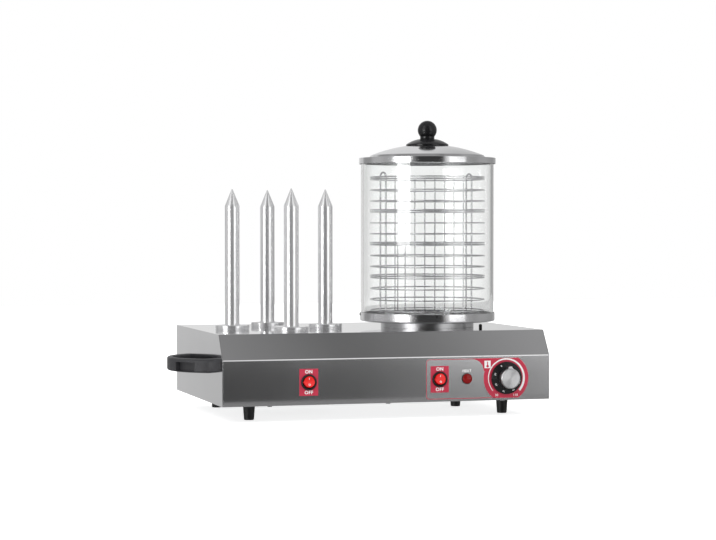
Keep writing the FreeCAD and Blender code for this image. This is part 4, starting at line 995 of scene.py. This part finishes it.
# Each list holds bearings, in degrees from the front towards the right, with a brightness.
# What polished metal sees from the horizon up
STUDIO = [
    (-180, 0.95),
    (-173, 0.9),
    (-167, 0.65),
    (-163, 0.95),
    (-151, 0.4),
    (-130, 0.4),
    (-121, 0.6),
    (-106, 0.6),
    (-92, 0.5),
    (-87, 0.55),
    (-80, 0.6),
    (-78, 1.2),
    (-49, 1.2),
    (-46, 0.55),
    (-39, 0.2),
    (-34, 0.05),
    (6, 0.05),
    (9, 0.2),
    (13, 0.9),
    (16, 1.15),
    (25, 1.15),
    (31, 0.8),
    (40, 0.6),
    (50, 0.45),
    (69, 0.4),
    (81, 0.5),
    (96, 0.5),
    (123, 0.4),
    (150, 0.6),
    (163, 0.95),
    (180, 0.95),
]
# What the upright front panel sees, below the horizon
LOW_STUDIO = [
    (-180, 0.95),
    (-173, 0.9),
    (-167, 0.62),
    (-163, 0.8),
    (-151, 0.33),
    (-130, 0.23),
    (-115, 0.5),
    (-92, 0.35),
    (-78, 0.8),
    (-49, 0.8),
    (-39, 0.2),
    (-34, 0.05),
    (9, 0.07),
    (12.8, 0.085),
    (15, 0.1),
    (17, 0.14),
    (19, 0.2),
    (21, 0.28),
    (25, 0.6),
    (45, 0.5),
    (69, 0.4),
    (96, 0.35),
    (123, 0.33),
    (150, 0.6),
    (180, 0.9),
]
# What the slanted front sees, high overhead
HIGH_STUDIO = [
    (-180, 0.35),
    (10, 0.4),
    (27, 0.34),
    (34, 0.18),
    (38, 0.24),
    (43, 0.42),
    (60, 0.4),
    (180, 0.35),
]
# Elevations, in degrees, over which one list gives way to the next
LOW_TO_LEVEL = (-3.4, -3.0)
LEVEL_TO_HIGH = (47, 55)
# Bright panels: left and right bearing, low and high elevation, strength
SOFTBOXES = [
    (-74, -47.5, -0.8, 2.6, 10.0),
    (18, 50, -2.6, 1.7, 2.2),
    (-76, -50, -8.0, -3.8, 5.0),
]


def world_node(kind, **settings):
    node = tree.nodes.new(kind)
    for key, value in settings.items():
        setattr(node, key, value)
    return node


def world_maths(operation, *values):
    return maths(tree, operation, *values)


split = world_node("ShaderNodeSeparateXYZ")
tree.links.new(world_node("ShaderNodeTexCoord").outputs["Generated"], split.inputs[0])
ahead = world_maths("MULTIPLY", split.outputs["Y"], -1.0)
bearing = world_maths("MULTIPLY", world_maths("ARCTAN2", split.outputs["X"], ahead), 180 / math.pi)
elevation = world_maths("MULTIPLY", world_maths("ARCSINE", split.outputs["Z"]), 180 / math.pi)


def by_bearing(stops):
    """Brightness at each bearing, from a ramp."""
    node = world_node("ShaderNodeValToRGB")
    set_ramp(node, [((at + 180) / 360, (value, value, value)) for at, value in stops])
    share = world_maths("ADD", world_maths("MULTIPLY", bearing, 1 / 360), 0.5)
    tree.links.new(share, node.inputs["Fac"])
    return node.outputs["Color"]


def gate(source, low, high):
    """0 below the first value and 1 above the second."""
    node = world_node("ShaderNodeMapRange", interpolation_type="SMOOTHSTEP")
    node.inputs["From Min"].default_value = low
    node.inputs["From Max"].default_value = high
    tree.links.new(source, node.inputs["Value"])
    return node.outputs[0]


def blended(factor, first, second):
    node = world_node("ShaderNodeMix", data_type="FLOAT")
    for socket, value in (("Factor", factor), ("A", first), ("B", second)):
        tree.links.new(value, node.inputs[socket])
    return node.outputs["Result"]


def softbox(left, right, low, high, strength):
    """A bright panel between two bearings and two elevations, with soft edges."""
    sides = world_maths("SUBTRACT", gate(bearing, left, left + 2), gate(bearing, right - 2, right))
    ends = world_maths("SUBTRACT", gate(elevation, low, low + 0.4), gate(elevation, high - 0.4, high))
    return world_maths("MULTIPLY", world_maths("MULTIPLY", sides, ends), strength)


def background(strength, grey=1.0):
    node = world_node("ShaderNodeBackground")
    node.inputs["Color"].default_value = (grey, grey, grey, 1)
    feed(tree, node.inputs["Strength"], strength)
    return node.outputs[0]


def mixed(factor, first, second):
    node = world_node("ShaderNodeMixShader")
    for socket, value in zip(node.inputs, (factor, first, second)):
        tree.links.new(value, socket)
    return node.outputs[0]


level = blended(gate(elevation, *LOW_TO_LEVEL), by_bearing(LOW_STUDIO), by_bearing(STUDIO))
level = blended(gate(elevation, *LEVEL_TO_HIGH), level, by_bearing(HIGH_STUDIO))
for panel in SOFTBOXES:
    level = world_maths("ADD", level, softbox(*panel))
rays = world_node("ShaderNodeLightPath").outputs
studio = mixed(rays["Is Glossy Ray"], background(0.75), background(level, grey=0.8))
# The backdrop is plain white straight ahead or through glass, but not in a mirrored view
straight = world_maths("MAXIMUM", rays["Is Camera Ray"], rays["Is Transmission Ray"])
unmirrored = world_maths("LESS_THAN", rays["Glossy Depth"], 0.5)
clear = world_maths("MULTIPLY", straight, unmirrored)
surroundings = mixed(clear, studio, background(1.0))
tree.links.new(surroundings, world_node("ShaderNodeOutputWorld").inputs["Surface"])

# The floor is white to the eye with the object's soft shadow; mirrors see past it
floor_look = Look("studio_floor").set(Roughness=0.9, Emission_Color=(1.0, 1.0, 1.0, 1.0))
floor_look.vary(floor_look.noise(2.0), (0.86, 0.86, 0.86), (0.88, 0.88, 0.88))
camera_ray = floor_look.add("ShaderNodeLightPath").outputs["Is Camera Ray"]
to_the_eye = maths(floor_look.tree, "MULTIPLY", camera_ray, 0.74)
floor_look.link(to_the_eye, floor_look.shader.inputs["Emission Strength"])
bm = bmesh.new()
bmesh.ops.create_grid(bm, x_segments=2, y_segments=2, size=4.0)
floor_mesh = bpy.data.meshes.new("floor")
bm.to_mesh(floor_mesh)
bm.free()
floor_mesh.materials.append(floor_look.material)
floor = placed("floor", floor_mesh)
floor.visible_glossy = False

# The strip of pale floor that the lowest part of the front panel mirrors
card_look = Look("floor_card")
card_look.set(Roughness=0.9, Emission_Color=(1.0, 1.0, 1.0, 1.0), Emission_Strength=0.2)
card_look.vary(card_look.noise(2.0), (0.0, 0.0, 0.0), (0.01, 0.01, 0.01))
near, far = mm(FRONT), mm(FRONT - 330)
corners = [(-0.3, far, 0.001), (0.7, far, 0.001), (0.7, near, 0.001), (-0.3, near, 0.001)]
card_mesh = bpy.data.meshes.new("floor_card")
card_mesh.from_pydata(corners, [], [(0, 1, 2, 3)])
card_mesh.materials.append(card_look.material)
card = placed("floor_card", card_mesh)
for kind in ("camera", "diffuse", "transmission", "shadow"):
    setattr(card, f"visible_{kind}", False)

# Lamps: name, place and width in metres, power in watts
LAMPS = (
    ("key", (-1.6, -1.8, 2.2), 1.4, 26),
    ("fill", (1.9, -1.4, 1.5), 1.2, 12),
    ("top", (0.1, 0.6, 2.4), 1.6, 14),
)
AIM = Vector((0, 0, 0.15))
for name, spot, width, power in LAMPS:
    lamp = bpy.data.lights.new(name, "AREA")
    lamp.shape = "RECTANGLE"
    lamp.size = lamp.size_y = width
    lamp.energy = power
    light = placed(name, lamp)
    light.location = spot
    light.rotation_euler = (AIM - Vector(spot)).to_track_quat("-Z", "Y").to_euler()
    light.visible_glossy = False

# Camera, as fitted to the photograph: focal length and picture width in pixels, angles in radians

SENSOR = 36.0
FOCAL, PICTURE_WIDTH = 2029.19, 716
YAW, PITCH = 0.2903855, 0.0221972
camera = placed("camera", bpy.data.cameras.new("camera"))
camera.data.sensor_width = SENSOR
camera.data.lens = FOCAL / PICTURE_WIDTH * SENSOR
camera.data.clip_start = 0.05
gaze = Vector((math.sin(YAW) * math.cos(PITCH), math.cos(YAW) * math.cos(PITCH), -math.sin(PITCH)))
camera.location = (mm(LEFT - 625.398), mm(FRONT - 2751.407), mm(BASE + 253.562))
camera.rotation_euler = gaze.to_track_quat("-Z", "Y").to_euler()
bpy.context.scene.camera = camera
bpy.context.scene.view_settings.view_transform = "Standard"
